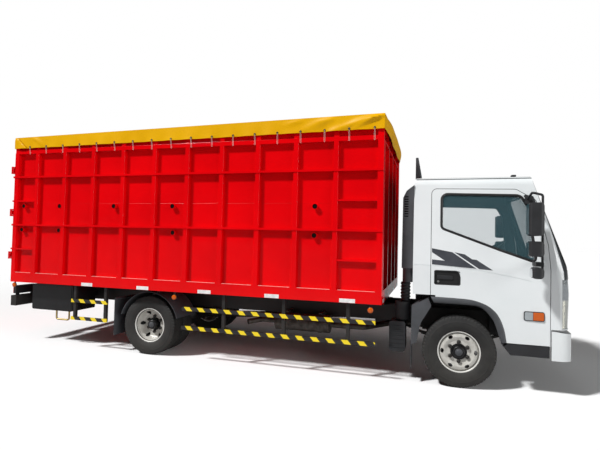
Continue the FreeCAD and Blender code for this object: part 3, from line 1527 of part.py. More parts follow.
parts = {
    "frame_rails": lambda: pair(frame_rail()),
    "cross_members": cross_members,
    "cab_supports": cab_supports,
    "front_axle": front_axle,
    "rear_axle": rear_axle,
    "leaf_springs": leaf_springs,
    "engine": engine,
    "exhaust": exhaust,
    "air_cleaner": air_cleaner,
    "fuel_tank": fuel_tank,
    "battery_box": battery_box,
    "side_guards": side_guards,
    "guard_posts": guard_posts,
    "underrun_bar": underrun_bar,
    "rear_lamps": lambda: pair(rear_lamp()),
    "tool_box": tool_box,
    "mudguards": mudguards,
    "bumper": bumper,
    "load_floor": load_floor,
    "floor_bearers": floor_bearers,
    "load_wall_left": load_side_wall,
    "load_wall_right": lambda: mirrored(load_side_wall()),
    "load_wall_front": load_front_wall,
    "load_rear_frame": load_rear_frame,
    "door_hinges": door_hinges,
    "roof_bows": roof_bows,
    "tarp": tarp,
    "wall_stubs": wall_stubs,
    "cab_shell": cab_shell,
    "cab_glass": cab_glass,
    "dashboard": dash_with_column,
    "seats": seats,
    "door_seals": lambda: pair(door_seal()),
    "headlamps": headlamps,
    "grille": grille,
    "snorkel": snorkel,
    "roof_deflector": roof_deflector,
    "cab_steps": lambda: pair(cab_step()),
    "door_right": door,
    "door_left": lambda: mirrored(door()),
    "door_glass_right": door_glass,
    "door_glass_left": lambda: mirrored(door_glass()),
    "mirror_right": mirror,
    "mirror_left": lambda: mirrored(mirror()),
    "steering_wheel": placed_wheel,
    "knuckle_left": knuckle,
    "knuckle_right": lambda: mirrored(knuckle()),
    "tie_rod": tie_rod,
    "tyre_front_left": lambda: tyre(front_tyre_face),
    "tyre_front_right": lambda: mirrored(tyre(front_tyre_face)),
    "rim_front_left": front_rim,
    "rim_front_right": lambda: mirrored(front_rim()),
    "tyres_rear_left": lambda: at_rear_axle(rear_tyres()),
    "tyres_rear_right": lambda: at_rear_axle(mirrored(rear_tyres())),
    "rim_rear_left": lambda: at_rear_axle(rear_rim()),
    "rim_rear_right": lambda: at_rear_axle(mirrored(rear_rim())),
    "rear_door_left": rear_leaf,
    "rear_door_right": lambda: mirrored(rear_leaf()),
}

os.makedirs("parts", exist_ok=True)
for name, make in parts.items():
    shape = make()
    shape.translate(Vector(front_axle_x, 0, 0))
    shape.exportStep("parts/" + name + ".step")
    print(name, len(shape.Solids), round(shape.Volume / 1e9, 5), shape.isValid())
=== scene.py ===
import json
import math
import bpy
import bmesh
import numpy as np
from mathutils import Matrix, Vector


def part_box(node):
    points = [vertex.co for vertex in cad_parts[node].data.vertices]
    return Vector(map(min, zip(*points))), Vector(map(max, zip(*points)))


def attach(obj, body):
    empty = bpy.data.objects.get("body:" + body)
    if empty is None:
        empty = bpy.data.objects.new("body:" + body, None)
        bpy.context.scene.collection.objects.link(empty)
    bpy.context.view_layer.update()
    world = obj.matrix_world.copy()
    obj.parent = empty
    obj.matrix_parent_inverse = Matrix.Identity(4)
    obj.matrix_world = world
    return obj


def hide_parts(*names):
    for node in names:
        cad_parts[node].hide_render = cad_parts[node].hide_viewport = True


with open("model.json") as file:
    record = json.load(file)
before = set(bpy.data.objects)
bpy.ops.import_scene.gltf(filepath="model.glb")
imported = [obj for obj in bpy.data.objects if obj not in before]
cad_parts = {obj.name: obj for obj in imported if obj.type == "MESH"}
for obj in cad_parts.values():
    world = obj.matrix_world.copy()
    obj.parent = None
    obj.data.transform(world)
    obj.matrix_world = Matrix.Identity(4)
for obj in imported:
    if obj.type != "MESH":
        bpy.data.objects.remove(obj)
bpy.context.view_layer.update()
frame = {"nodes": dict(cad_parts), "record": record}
print("truck scene: frame loaded")

# Where the truck's pieces are, in metres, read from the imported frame
joints = {j["name"]: j for j in frame["record"]["behaviour"]["joints"]}
frontAxleX = joints["front_left_spin"]["pos_m"][0]
rearAxleX = joints["rear_left_spin"]["pos_m"][0]
axleZ = joints["front_left_spin"]["pos_m"][2]
wallLow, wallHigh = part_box("load_wall_right")
bodyRearX, bodyFrontX, railZ = wallLow.x, wallHigh.x, wallLow.z
bothSides = ((-1, "Right"), (1, "Left"))

# The cab's skin in straight lines over the height: how far out, its lean, and the height where it is that far
cabSkin = {"sill": (0.990, 0.0111, 0.4), "sideTop": (1.0, -0.0962, 1.3), "bumper": (1.104, 0.0334, 0.52),
           "nose": (1.122, -0.0759, 1.059), "screen": (1.104, -0.352, 1.296),
           "sweep": 0.105, "sweepFrom": 0.45}


def linear(hexColour, alpha=1.0):
    # an sRGB hex colour as linear light: each channel c becomes ((c + 0.055) / 1.055) ** 2.4
    c = np.array([int(hexColour[i:i + 2], 16) for i in (0, 2, 4)]) / 255
    c = np.where(c <= 0.04045, c / 12.92, ((c + 0.055) / 1.055) ** 2.4)
    return (*map(float, c), alpha)


def addNode(tree, kind, inputs=None, **settings):
    # one shader node: its settings, then its inputs, each a constant or another node's socket
    node = tree.nodes.new("ShaderNode" + kind)
    for name, value in settings.items():
        setattr(node, name, value)
    for name, value in (inputs or {}).items():
        if isinstance(value, bpy.types.NodeSocket):
            tree.links.new(value, node.inputs[name])
        else:
            node.inputs[name].default_value = value
    return node


def calc(tree, operation, *values):
    # one step of sums on sockets and numbers
    return addNode(tree, "Math", dict(enumerate(values)), operation=operation).outputs[0]


def mixed(tree, share, near, far):
    # one colour where the share is 0, the other where it is 1; each is a socket or an sRGB hex
    near, far = (linear(c) if isinstance(c, str) else c for c in (near, far))
    return addNode(tree, "Mix", {0: share, 6: near, 7: far}, data_type="RGBA").outputs[2]


def blended(tree, share, near, far):
    # the same with two numbers
    return addNode(tree, "Mix", {0: share, 2: near, 3: far}, data_type="FLOAT").outputs[0]


def spread(tree, value, low, high, start=0.0, end=1.0):
    # the value's stretch from start to end, made to run from low to high
    return addNode(tree, "MapRange", {"Value": value, "From Min": start, "From Max": end,
                                      "To Min": low, "To Max": high}).outputs[0]


def noise(tree, where, scale, detail, roughness=0.5):
    return addNode(tree, "TexNoise", {"Vector": where, "Scale": scale, "Detail": detail,
                                      "Roughness": roughness}).outputs["Fac"]


def bumped(tree, height, strength, distance, under=None):
    # a bump, over the one under it where there is one
    inputs = {"Height": height, "Strength": strength, "Distance": distance}
    if under is not None:
        inputs["Normal"] = under
    return addNode(tree, "Bump", inputs).outputs[0]


def placeOn(tree):
    # the point on the piece, in metres, and its parts X, Y and Z
    where = addNode(tree, "TexCoord").outputs["Object"]
    return where, addNode(tree, "SeparateXYZ", {"Vector": where}).outputs


def paint(tree, finish, **sockets):
    # sockets led to the shader's own inputs
    for name, socket in sockets.items():
        tree.links.new(socket, finish.inputs[name.replace("_", " ")])


def newMaterial(name, colour, roughness, **shader):
    material = bpy.data.materials.new(name)
    material.use_nodes = True
    tree = material.node_tree
    tree.nodes.clear()
    inputs = {"Base Color": linear(colour), "Roughness": roughness}
    inputs.update({key.replace("_", " "): value for key, value in shader.items()})
    finish = addNode(tree, "BsdfPrincipled", inputs)
    addNode(tree, "OutputMaterial", {"Surface": finish.outputs[0]})
    return material, tree, finish


def grainOver(tree, finish, look):
    # colour, roughness and bump that vary with two noises; patch and grain are real sizes in millimetres
    where, parts = placeOn(tree)
    broad = noise(tree, where, 1000 / look["patch"], 5.0, 0.6)
    fine = noise(tree, where, 1000 / look["grain"], 3.0)
    made = {"where": where, "parts": parts, "gloss": spread(tree, broad, look["smooth"], look["rough"]),
            "colour": mixed(tree, spread(tree, broad, 0.0, 1.0, 0.35, 0.7), look["dark"], look["light"]),
            "bump": bumped(tree, fine, look["bump"], 0.001)}
    paint(tree, finish, Base_Color=made["colour"], Roughness=made["gloss"], Normal=made["bump"])
    return made


def roadDust(tree, finish, colour, low, high, amount):
    # pale dust that thickens below the height 'high' and is thickest at 'low'
    where, parts = placeOn(tree)
    fade = spread(tree, parts["Z"], amount, 0.0, low, high)
    clouds = noise(tree, where, 6.0, 6.0, 0.65)
    dusty = mixed(tree, calc(tree, "MULTIPLY", fade, clouds), colour, "8F8574")
    paint(tree, finish, Base_Color=dusty)
    return dusty


# Materials, each named for what the real surface is and how it was made

def redEnamel():
    # alkyd enamel sprayed on folded steel sheet: wet gloss, slight orange peel, wavy where it was welded
    material, tree, finish = newMaterial("redEnamelSprayed", "DC0510", 0.2, Coat_Weight=0.06,
                                         Coat_Roughness=0.05, Specular_IOR_Level=0.10)
    made = grainOver(tree, finish, {"patch": 900, "grain": 7, "dark": "D80008", "light": "E80008",
                                    "smooth": 0.16, "rough": 0.30, "bump": 0.05})
    wave = noise(tree, made["where"], 3.2, 1.0)
    paint(tree, finish, Normal=bumped(tree, wave, 0.30, 0.02, made["bump"]))
    roadDust(tree, finish, made["colour"], 0.86, 1.05, 0.035)
    return material


def cabInside(tree, parts):
    # 1 on the faces that line the cab: deeper than the wall in from the skin, and above the floor
    cab = {"back": -0.470, "nose": 1.075, "roof": 2.275, "floor": 0.955, "wall": 0.025, "pane": 0.045}
    x, z = parts["X"], parts["Z"]

    def inFrom(line, shift):
        # the skin's line at the point's own height, moved by the shift
        start, lean, height = cabSkin[line]
        return calc(tree, "MULTIPLY_ADD", z, lean, start - lean * height + shift)

    half = calc(tree, "MINIMUM", inFrom("sill", -cab["wall"]), inFrom("sideTop", -cab["wall"]))
    front = calc(tree, "MINIMUM", inFrom("screen", frontAxleX - cab["pane"]), frontAxleX + cab["nose"])
    tests = [calc(tree, "LESS_THAN", calc(tree, "ABSOLUTE", parts["Y"]), half),
             calc(tree, "LESS_THAN", x, front),
             calc(tree, "GREATER_THAN", x, frontAxleX + cab["back"]),
             calc(tree, "LESS_THAN", z, cab["roof"]),
             calc(tree, "GREATER_THAN", z, cab["floor"])]
    share = tests[0]
    for test in tests[1:]:
        share = calc(tree, "MULTIPLY", share, test)
    return share


def whiteEnamel():
    # two-pack white car enamel: bright body colour under a clear, nearly mirror-smooth coat
    material, tree, finish = newMaterial("whiteEnamelBaked", "D9DDDE", 0.22, Coat_Weight=0.6,
                                         Coat_Roughness=0.03)
    made = grainOver(tree, finish, {"patch": 700, "grain": 5, "dark": "DFE4E5", "light": "E6EAEB",
                                    "smooth": 0.18, "rough": 0.28, "bump": 0.02})
    dusty = roadDust(tree, finish, made["colour"], 0.38, 0.95, 0.16)
    inside = cabInside(tree, made["parts"])
    paint(tree, finish, Base_Color=mixed(tree, inside, dusty, "23292C"),
          Roughness=blended(tree, inside, made["gloss"], 0.8))
    return material


def blackChassis():
    # chassis black brushed over steel: satin, with grey road film low down
    material, tree, finish = newMaterial("blackChassisPaint", "121213", 0.42)
    made = grainOver(tree, finish, {"patch": 160, "grain": 4, "dark": "0C0C0D", "light": "1D1D1F",
                                    "smooth": 0.34, "rough": 0.62, "bump": 0.16})
    roadDust(tree, finish, made["colour"], 0.1, 1.0, 0.14)
    return material


def hazardFilm():
    # yellow and black reflective film: bands that lean forward at the foot, 181 mm apart
    band = {"pitch": 0.181, "yellow": 0.44, "lean": 0.85}
    material, tree, finish = newMaterial("hazardReflectiveFilm", "F2D413", 0.30, Coat_Weight=0.4,
                                         Coat_Roughness=0.12)
    where, parts = placeOn(tree)
    leaned = calc(tree, "MULTIPLY_ADD", parts["Z"], band["lean"], parts["X"])
    phase = calc(tree, "FRACT", calc(tree, "MULTIPLY", leaned, 1 / band["pitch"]))
    black = calc(tree, "GREATER_THAN", phase, band["yellow"])
    grime = spread(tree, noise(tree, where, 14.0, 4.0), 0.0, 0.25)
    yellow = mixed(tree, grime, "F6DB1C", "C9A51A")
    paint(tree, finish, Base_Color=mixed(tree, black, yellow, "17171A"))
    return material


def plainFinish(name, look, **shader):
    # a moulded, cast or painted finish that needs only its two noises
    material, tree, finish = newMaterial(name, look["light"], look["smooth"], **shader)
    grainOver(tree, finish, look)
    return material


def wheelSilver():
    # silver wheel enamel on pressed steel with a black hub and a lighter lip; painted shade makes the edges
    # of the hand holes black and the groove inside the lip dark grey
    wheel = {"hub": 0.087, "lip": 0.2085, "groove": 0.2015, "holes": 6, "holeCircle": 0.172,
             "holeWide": 0.025, "holeDeep": 0.018}
    material, tree, finish = newMaterial("silverWheelEnamel", "C9C8C3", 0.35, Metallic=0.15)
    made = grainOver(tree, finish, {"patch": 60, "grain": 3, "dark": "BDBBB4", "light": "D3D2CC",
                                    "smooth": 0.3, "rough": 0.5, "bump": 0.1})
    x, z = made["parts"]["X"], made["parts"]["Z"]

    def distance(a, b):
        # the length of the flat vector (a, b)
        flat = addNode(tree, "CombineXYZ", {"X": a, "Y": b}).outputs[0]
        return addNode(tree, "VectorMath", {0: flat}, operation="LENGTH").outputs["Value"]

    atFront = calc(tree, "GREATER_THAN", x, 0.5 * (frontAxleX + rearAxleX))
    across = calc(tree, "SUBTRACT", x, blended(tree, atFront, rearAxleX, frontAxleX))
    upward = calc(tree, "SUBTRACT", z, axleZ)
    radius = distance(across, upward)
    # painted shade on the rolled edge round each hand hole: an oval in the turn about the axle and the radius
    turn = calc(tree, "ARCTAN2", upward, across)
    swing = calc(tree, "WRAP", turn, math.pi / wheel["holes"], -math.pi / wheel["holes"])
    wide = calc(tree, "MULTIPLY", swing, wheel["holeCircle"] / wheel["holeWide"])
    deep = calc(tree, "DIVIDE", calc(tree, "SUBTRACT", radius, wheel["holeCircle"]), wheel["holeDeep"])
    holeShade = calc(tree, "LESS_THAN", distance(wide, deep), 1.0)
    hub = calc(tree, "LESS_THAN", radius, wheel["hub"])
    lip = calc(tree, "GREATER_THAN", radius, wheel["lip"])
    # painted shade: the groove inside the lip is coloured dark grey
    groove = calc(tree, "GREATER_THAN", radius, wheel["groove"])
    bright = mixed(tree, lip, mixed(tree, groove, made["colour"], "4A4A48"), "E0DFDA")
    dusty = roadDust(tree, finish, bright, 0.1, 0.75, 0.22)
    paint(tree, finish, Base_Color=mixed(tree, calc(tree, "MAXIMUM", hub, holeShade), dusty, "121213"))
    return material


def tarpCloth():
    # PVC-coated polyester scrim: satin film over a 1 mm weave, drawn at 4 mm so that it shows
    weave = {"thread": 0.004, "gap": 0.08}
    material, tree, finish = newMaterial("tarpaulinCoatedWeave", "EDB90A", 0.4, Coat_Weight=0.04,
                                         Coat_Roughness=0.3, Specular_IOR_Level=0.12)
    made = grainOver(tree, finish, {"patch": 1400, "grain": 30, "dark": "DCA200", "light": "E8B000",
                                    "smooth": 0.3, "rough": 0.46, "bump": 0.12})
    threads = addNode(tree, "TexBrick", {"Vector": made["where"], "Scale": 1 / weave["thread"],
                                         "Mortar Size": weave["gap"]}).outputs["Fac"]
    paint(tree, finish, Normal=bumped(tree, threads, 0.12, 0.0008, made["bump"]))
    return material


def tintedGlass():
    # blue-green laminated glass: clear seen square on, a mirror at grazing angles
    material, tree, finish = newMaterial("tintedSafetyGlass", "6E98A3", 0.03, Specular_IOR_Level=0.5)
    edge = addNode(tree, "LayerWeight", {"Blend": 0.35}).outputs["Facing"]
    smear = addNode(tree, "TexNoise", {"Scale": 9.0, "Detail": 4.0}).outputs["Fac"]
    paint(tree, finish, Alpha=spread(tree, edge, 0.13, 0.75), Roughness=spread(tree, smear, 0.01, 0.06))
    return material


def lampLens(name, colour, alpha):
    # polycarbonate lens with moulded flutes some 17 mm apart
    material, tree, finish = newMaterial(name, colour, 0.08, Specular_IOR_Level=0.7, Alpha=alpha)
    where = addNode(tree, "TexCoord").outputs["Object"]
    flutes = addNode(tree, "TexWave", {"Vector": where, "Scale": 18.0}, bands_direction="X").outputs["Fac"]
    paint(tree, finish, Normal=bumped(tree, flutes, 0.25, 0.002))
    return material


def tyreRubber():
    # carbon-black rubber: brown-grey bloom on the sidewall, dusty between the ribs
    material, tree, finish = newMaterial("tyreRubberMoulded", "1B1B1C", 0.7)
    made = grainOver(tree, finish, {"patch": 90, "grain": 2.5, "dark": "141415", "light": "232322",
                                    "smooth": 0.6, "rough": 0.85, "bump": 0.15})
    roadDust(tree, finish, made["colour"], 0.0, 0.8, 0.10)
    return material


def toolBoxPaint():
    # black chassis paint on the box; the step hoop under it is worn brass-coloured plating
    hoop = {"top": 0.4695, "plating": "B9A26A"}
    material, tree, finish = newMaterial("toolBoxPaintedSteel", "141415", 0.4)
    made = grainOver(tree, finish, {"patch": 200, "grain": 4, "dark": "0D0D0E", "light": "1C1C1E",
                                    "smooth": 0.3, "rough": 0.5, "bump": 0.12})
    plated = calc(tree, "LESS_THAN", made["parts"]["Z"], hoop["top"])
    paint(tree, finish, Base_Color=mixed(tree, plated, made["colour"], hoop["plating"]), Metallic=plated)
    return material


def lampUnit():
    # the unit behind the lens: black bracket on top, grey ribbed screen with painted shade in its ribs'
    # troughs and painted highlight on their crests, aluminised reflector below
    unit = {"bracket": 1.158, "screen": 0.995, "rib": 0.012}
    material, tree, finish = newMaterial("lampUnitAluminised", "D5D2C6", 0.2)
    height = placeOn(tree)[1]["Z"]
    wave = calc(tree, "SINE", calc(tree, "MULTIPLY", height, 2 * math.pi / unit["rib"]))
    # painted shade and highlight: the grey runs darker in each rib's trough and lighter on its crest, in step
    # with the bump
    ribShading = mixed(tree, spread(tree, wave, 0.0, 1.0, -1.0, 1.0), "4C4F54", "8B8F93")
    high = calc(tree, "GREATER_THAN", height, unit["screen"])
    top = calc(tree, "GREATER_THAN", height, unit["bracket"])
    mirror = mixed(tree, high, "D9D5C4", ribShading)
    paint(tree, finish, Base_Color=mixed(tree, top, mirror, "121214"),
          Metallic=calc(tree, "SUBTRACT", 1.0, high), Normal=bumped(tree, wave, 0.5, 0.002))
    return material


def rearLampUnit():
    # one unit, two mouldings: a ruby lens over the last 14 mm of a black housing
    unit = {"lens": 0.013, "housing": 0.014}
    material, tree, finish = newMaterial("rearLampMoulded", "B5090C", 0.15, Specular_IOR_Level=0.5)
    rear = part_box("rear_lamps")[0].x
    housing = spread(tree, placeOn(tree)[1]["X"], 0.0, 1.0, rear + unit["lens"], rear + unit["housing"])
    paint(tree, finish, Base_Color=mixed(tree, housing, "B5090C", "17181A"),
          Roughness=spread(tree, housing, 0.12, 0.55))
    return material


finishes = {
    "toolBox": toolBoxPaint(), "lampUnit": lampUnit(), "rearLamp": rearLampUnit(),
    "red": redEnamel(), "white": whiteEnamel(), "chassis": blackChassis(), "hazard": hazardFilm(),
    "wheel": wheelSilver(), "tarp": tarpCloth(), "glass": tintedGlass(), "tyre": tyreRubber(),
    "clearLens": lampLens("clearLensPolycarbonate", "DDE6EA", 0.32),
    "amberLens": lampLens("amberLensPolycarbonate", "CC5A04", 0.92),
    "redLens": lampLens("redLensPolycarbonate", "B5090C", 0.94),
}

# Plain finishes: the name, then the values of lookKeys, then what else the shader needs
lookKeys = ("patch", "grain", "dark", "light", "smooth", "rough", "bump")
plainLooks = {
    "iron": ("castIronOily", 120, 5, "1A1917", "34322F", 0.45, 0.75, 0.5, {}),
    "exhaust": ("aluminisedSteelHeated", 70, 3, "3B3632", "6B6660", 0.4, 0.65, 0.25, {"Metallic": 0.7}),
    "plastic": ("blackPolypropyleneGrained", 200, 2.2, "1A1B1D", "26272A", 0.5, 0.62, 0.3, {}),
    "greyPlastic": ("greyPolypropyleneGrained", 260, 2.2, "3B3D40", "4A4C50", 0.48, 0.62, 0.3, {}),
    "trim": ("dashboardVinylGrained", 150, 1.8, "202226", "2D3035", 0.55, 0.7, 0.35, {}),
    "seat": ("seatClothWoven", 40, 3, "23262B", "33373D", 0.8, 0.95, 0.6, {"Sheen_Weight": 0.4}),
    "rubber": ("sealRubberExtruded", 120, 2, "0D0D0E", "171718", 0.45, 0.6, 0.1, {}),
    # painted highlight: a pale pink enamel for the lit upper edge of the bottom rail
    "rubbed": ("redEnamelRubbed", 50, 4, "E88E86", "F6C4BE", 0.25, 0.4, 0.1, {}),
    # painted shade: plain black for openings whose insides lie in shadow
    "bore": ("bareSteelUnlit", 60, 3, "030303", "080808", 0.8, 0.95, 0.1, {"Specular_IOR_Level": 0.1}),
    "chrome": ("reflectorAluminised", 90, 20, "C9CCCE", "E4E6E7", 0.06, 0.14, 0.02, {"Metallic": 1.0}),
    "steel": ("zincPlatedSteel", 30, 2, "8B8C8A", "B4B5B2", 0.3, 0.5, 0.1, {"Metallic": 0.9}),
    "rope": ("polypropyleneRopeTwisted", 20, 2, "C9C6BC", "EDEBE4", 0.6, 0.8, 0.6, {}),
    "tape": ("whiteReflectiveTape", 60, 4, "D9D9DA", "F4F4F2", 0.25, 0.4, 0.1, {"Coat_Weight": 0.6}),
    "decal": ("greyVinylFilm", 200, 3, "3E4147", "4A4D53", 0.22, 0.3, 0.03, {"Coat_Weight": 0.5}),
}
for key, (name, *look, shader) in plainLooks.items():
    finishes[key] = plainFinish(name, dict(zip(lookKeys, look)), **shader)
print("truck scene: materials made")

nodeFinish = {
    "chassis": ["frame_rails", "cross_members", "cab_supports", "front_axle", "rear_axle", "leaf_springs",
                "fuel_tank", "underrun_bar", "knuckle_left", "knuckle_right", "tie_rod", "guard_posts"],
    "toolBox": ["tool_box"],
    "iron": ["engine"], "exhaust": ["exhaust"], "hazard": ["side_guards"], "seat": ["seats"],
    "plastic": ["air_cleaner", "battery_box", "cab_steps", "grille", "mirror_right", "mirror_left"],
    "greyPlastic": ["snorkel", "roof_deflector", "mudguards"],
    "red": ["load_floor", "floor_bearers", "load_wall_left", "load_wall_right", "load_wall_front",
            "load_rear_frame", "roof_bows", "rear_door_left", "rear_door_right", "door_hinges", "wall_stubs"],
    "white": ["cab_shell", "door_right", "door_left", "bumper"],
    "glass": ["cab_glass", "door_glass_right", "door_glass_left"],
    "trim": ["dashboard", "steering_wheel"], "tarp": ["tarp"], "clearLens": ["headlamps"],
    "rubber": ["door_seals"], "rearLamp": ["rear_lamps"],
    "tyre": ["tyre_front_left", "tyre_front_right", "tyres_rear_left", "tyres_rear_right"],
    "wheel": ["rim_front_left", "rim_front_right", "rim_rear_left", "rim_rear_right"],
}
for finish, names in nodeFinish.items():
    for name in names:
        node = frame["nodes"][name]
        node.data.materials.clear()
        node.data.materials.append(finishes[finish])


# Ways of making a mesh from arrays

def makePiece(name, points, faces, finish, body, smooth=True):
    mesh = bpy.data.meshes.new(name)
    mesh.from_pydata(np.asarray(points).reshape(-1, 3).tolist(), [], [list(f) for f in faces])
    if smooth:
        mesh.polygons.foreach_set("use_smooth", np.ones(len(mesh.polygons), bool))
        mesh.set_sharp_from_angle(angle=math.radians(38))
    mesh.materials.append(finishes[finish])
    mesh.validate()
    piece = bpy.data.objects.new(name, mesh)
    bpy.context.scene.collection.objects.link(piece)
    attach(piece, body)
    return piece


def gridFaces(rows, cols, wrapRows=False, wrapCols=False):
    # each quad joins a point of the grid to its next neighbours along both parameters
    i, j = np.meshgrid(np.arange(rows if wrapRows else rows - 1), np.arange(cols if wrapCols else cols - 1),
                       indexing="ij")
    below = (i + 1) % rows
    right = (j + 1) % cols
    corners = [i * cols + j, i * cols + right, below * cols + right, below * cols + j]
    return np.stack(corners, -1).reshape(-1, 4)


def joined(shells):
    # shells of (points, faces) as one list of each: a shell's faces count on from the points before it
    points, faces, start = [], [], 0
    for place, corners in shells:
        points.append(np.reshape(place, (-1, 3)))
        faces += [[start + k for k in face] for face in corners]
        start += len(points[-1])
    return np.concatenate(points), faces


def spunPoints(profile, count):
    # a profile of (along, radius) turned about the Y axis, count steps a turn
    turn = np.linspace(0, 2 * np.pi, count, endpoint=False)[:, None]
    along, radius = profile[:, 0], profile[:, 1]
    return np.stack([radius * np.sin(turn), along + 0 * turn, radius * np.cos(turn)], -1)


def tubePoints(path, radius, sides, lead=(0.0, 0.0, 1.0)):
    # a circle carried along the path: two directions square to the path, found from the lead vector
    path = np.asarray(path, float)
    ahead = np.gradient(path, axis=0)
    ahead /= np.linalg.norm(ahead, axis=1)[:, None]
    aside = np.cross(ahead, lead)
    aside /= np.linalg.norm(aside, axis=1)[:, None]
    over = np.cross(aside, ahead)
    turn = np.linspace(0, 2 * np.pi, sides, endpoint=False)[None, :, None]
    radius = np.broadcast_to(np.asarray(radius, float), (len(path),))[:, None, None]
    return path[:, None] + radius * (np.cos(turn) * aside[:, None] + np.sin(turn) * over[:, None])


def tubeFaces(count, sides):
    # the tube's quads and its two end caps
    first = list(range(sides))
    last = list(range((count - 1) * sides, count * sides))
    return [list(f) for f in gridFaces(count, sides, wrapCols=True)] + [first, last[::-1]]


def tubePiece(name, paths, radius, finish, body, sides=8, lead=(0.0, 0.0, 1.0)):
    shells = [(tubePoints(path, radius, sides, lead), tubeFaces(len(path), sides)) for path in paths]
    return makePiece(name, *joined(shells), finish, body)


def smoothPath(corners, steps=8):
    # a curve through the corners: at each stretch a cubic with the neighbours' slopes
    p = np.asarray(corners, float)
    p = np.vstack([2 * p[0] - p[1], p, 2 * p[-1] - p[-2]])
    t = np.linspace(0, 1, steps, endpoint=False)[None, :, None]
    a, b, c, d = (q[:, None] for q in (p[:-3], p[1:-2], p[2:-1], p[3:]))
    square, cube = 2 * a - 5 * b + 4 * c - d, 3 * b - a - 3 * c + d
    curve = 0.5 * (2 * b + (c - a) * t + square * t ** 2 + cube * t ** 3)
    return np.vstack([curve.reshape(-1, p.shape[1]), p[-2]])


def roundedOutline(corners, steps=6):
    # corners of (u, v, radius); each is replaced by an arc that touches both of its sides
    outline = []
    count = len(corners)
    for i, (u, v, radius) in enumerate(corners):
        here = np.array([u, v], float)
        back = np.array(corners[i - 1][:2]) - here
        ahead = np.array(corners[(i + 1) % count][:2]) - here
        back /= np.linalg.norm(back)
        ahead /= np.linalg.norm(ahead)
        if radius == 0:
            outline.append(here[None])
            continue
        half = math.acos(float(np.clip(back @ ahead, -1, 1))) / 2
        run = radius / math.tan(half)
        middle = here + (back + ahead) / np.linalg.norm(back + ahead) * radius / math.sin(half)
        start, end = here + back * run - middle, here + ahead * run - middle
        sweep = math.pi - 2 * half
        sense = np.sign(start[0] * end[1] - start[1] * end[0])
        turn = sense * np.linspace(0, sweep, steps)[:, None]
        outline.append(middle + np.cos(turn) * start + np.sin(turn) * np.array([-start[1], start[0]]))
    return np.vstack(outline)


def facesOut(piece):
    # each closed shell's faces turned to point away from its inside
    work = bmesh.new()
    work.from_mesh(piece.data)
    bmesh.ops.remove_doubles(work, verts=work.verts, dist=1e-6)
    bmesh.ops.recalc_face_normals(work, faces=work.faces)
    work.to_mesh(piece.data)
    work.free()


def boxesPiece(name, boxes, finish, body, bevel=0.0):
    # many boxes, each a low and a high corner, as one mesh
    boxes = np.asarray(boxes, float)
    pick = np.array([[0, 0, 0], [1, 0, 0], [1, 1, 0], [0, 1, 0], [0, 0, 1], [1, 0, 1], [1, 1, 1], [0, 1, 1]])
    points = np.where(pick[None] == 0, boxes[:, None, 0], boxes[:, None, 1])
    sides = np.array([[0, 3, 2, 1], [4, 5, 6, 7], [0, 1, 5, 4], [1, 2, 6, 5], [2, 3, 7, 6], [3, 0, 4, 7]])
    faces = (sides[None] + 8 * np.arange(len(boxes))[:, None, None]).reshape(-1, 4)
    piece = makePiece(name, points, faces, finish, body, smooth=False)
    if bevel:
        softenEdges(piece, bevel)
    return piece


def ringsPiece(name, centres, axis, profile, count, finish, body):
    # one turned ring at each centre: the (along, radius) profile spun about the axis ("x" or "y")
    order = {"y": (0, 1, 2), "x": (1, 0, 2)}[axis]
    ring = spunPoints(profile, count)[..., order]
    faces = gridFaces(count, len(profile), wrapRows=True)
    piece = makePiece(name, *joined([(ring + np.asarray(centre), faces) for centre in centres]), finish, body)
    facesOut(piece)
    return piece


def sideBox(side, x, y, z):
    # a box on one side of the truck: its ranges along x, outward from the middle, and up
    near, far = sorted((side * y[0], side * y[1]))
    return (x[0], near, z[0]), (x[1], far, z[1])


def fromAxle(*reaches):
    # places ahead of the front axle
    return [frontAxleX + x for x in reaches]


# Camera, floor and light

shot = {"place": (2.2405, -6.1178, 1.5702), "yaw": 16.658, "pitch": 1.729, "roll": 1.288,
        "focal": 445.9, "imageWidth": 600.0, "sensor": 36.0}
stage = {"reach": 120.0, "floorLit": "B4B4B5", "floorSeen": "F6F6F6", "skyLit": 0.09, "skySeen": 1.0}
lights = {"key": {"tilt": 42, "turn": -48, "power": 3.95, "spread": 6},
          "front": {"tilt": 80, "turn": 70, "power": 1.75, "spread": 40}}


def placeCamera():
    yaw, pitch, roll = (math.radians(shot[k]) for k in ("yaw", "pitch", "roll"))
    ahead = Vector((-math.sin(yaw) * math.cos(pitch), math.cos(yaw) * math.cos(pitch), math.sin(pitch)))
    level = Vector((math.cos(yaw), math.sin(yaw), 0))
    upright = level.cross(ahead)
    side = math.cos(roll) * level + math.sin(roll) * upright
    top = math.cos(roll) * upright - math.sin(roll) * level
    lens = bpy.data.cameras.new("shot")
    lens.sensor_width = shot["sensor"]
    lens.lens = shot["focal"] / shot["imageWidth"] * shot["sensor"]
    camera = bpy.data.objects.new("shot", lens)
    turn = Matrix((side, top, -ahead)).transposed()
    camera.matrix_world = Matrix.Translation(shot["place"]) @ turn.to_4x4()
    bpy.context.scene.collection.objects.link(camera)
    bpy.context.scene.camera = camera


def layFloor():
    # a plain floor that looks brighter to the camera than it lights the truck
    reach = stage["reach"]
    corners = [(-reach, -reach, 0), (reach, -reach, 0), (reach, reach, 0), (-reach, reach, 0)]
    mesh = bpy.data.meshes.new("floor")
    mesh.from_pydata(corners, [], [(0, 1, 2, 3)])
    material, tree, finish = newMaterial("paleFloorPaint", stage["floorSeen"], 0.9, Specular_IOR_Level=0.1)
    seen = addNode(tree, "LightPath").outputs["Is Camera Ray"]
    paint(tree, finish, Base_Color=mixed(tree, seen, stage["floorLit"], stage["floorSeen"]))
    mesh.materials.append(material)
    floor = bpy.data.objects.new("floor", mesh)
    bpy.context.scene.collection.objects.link(floor)


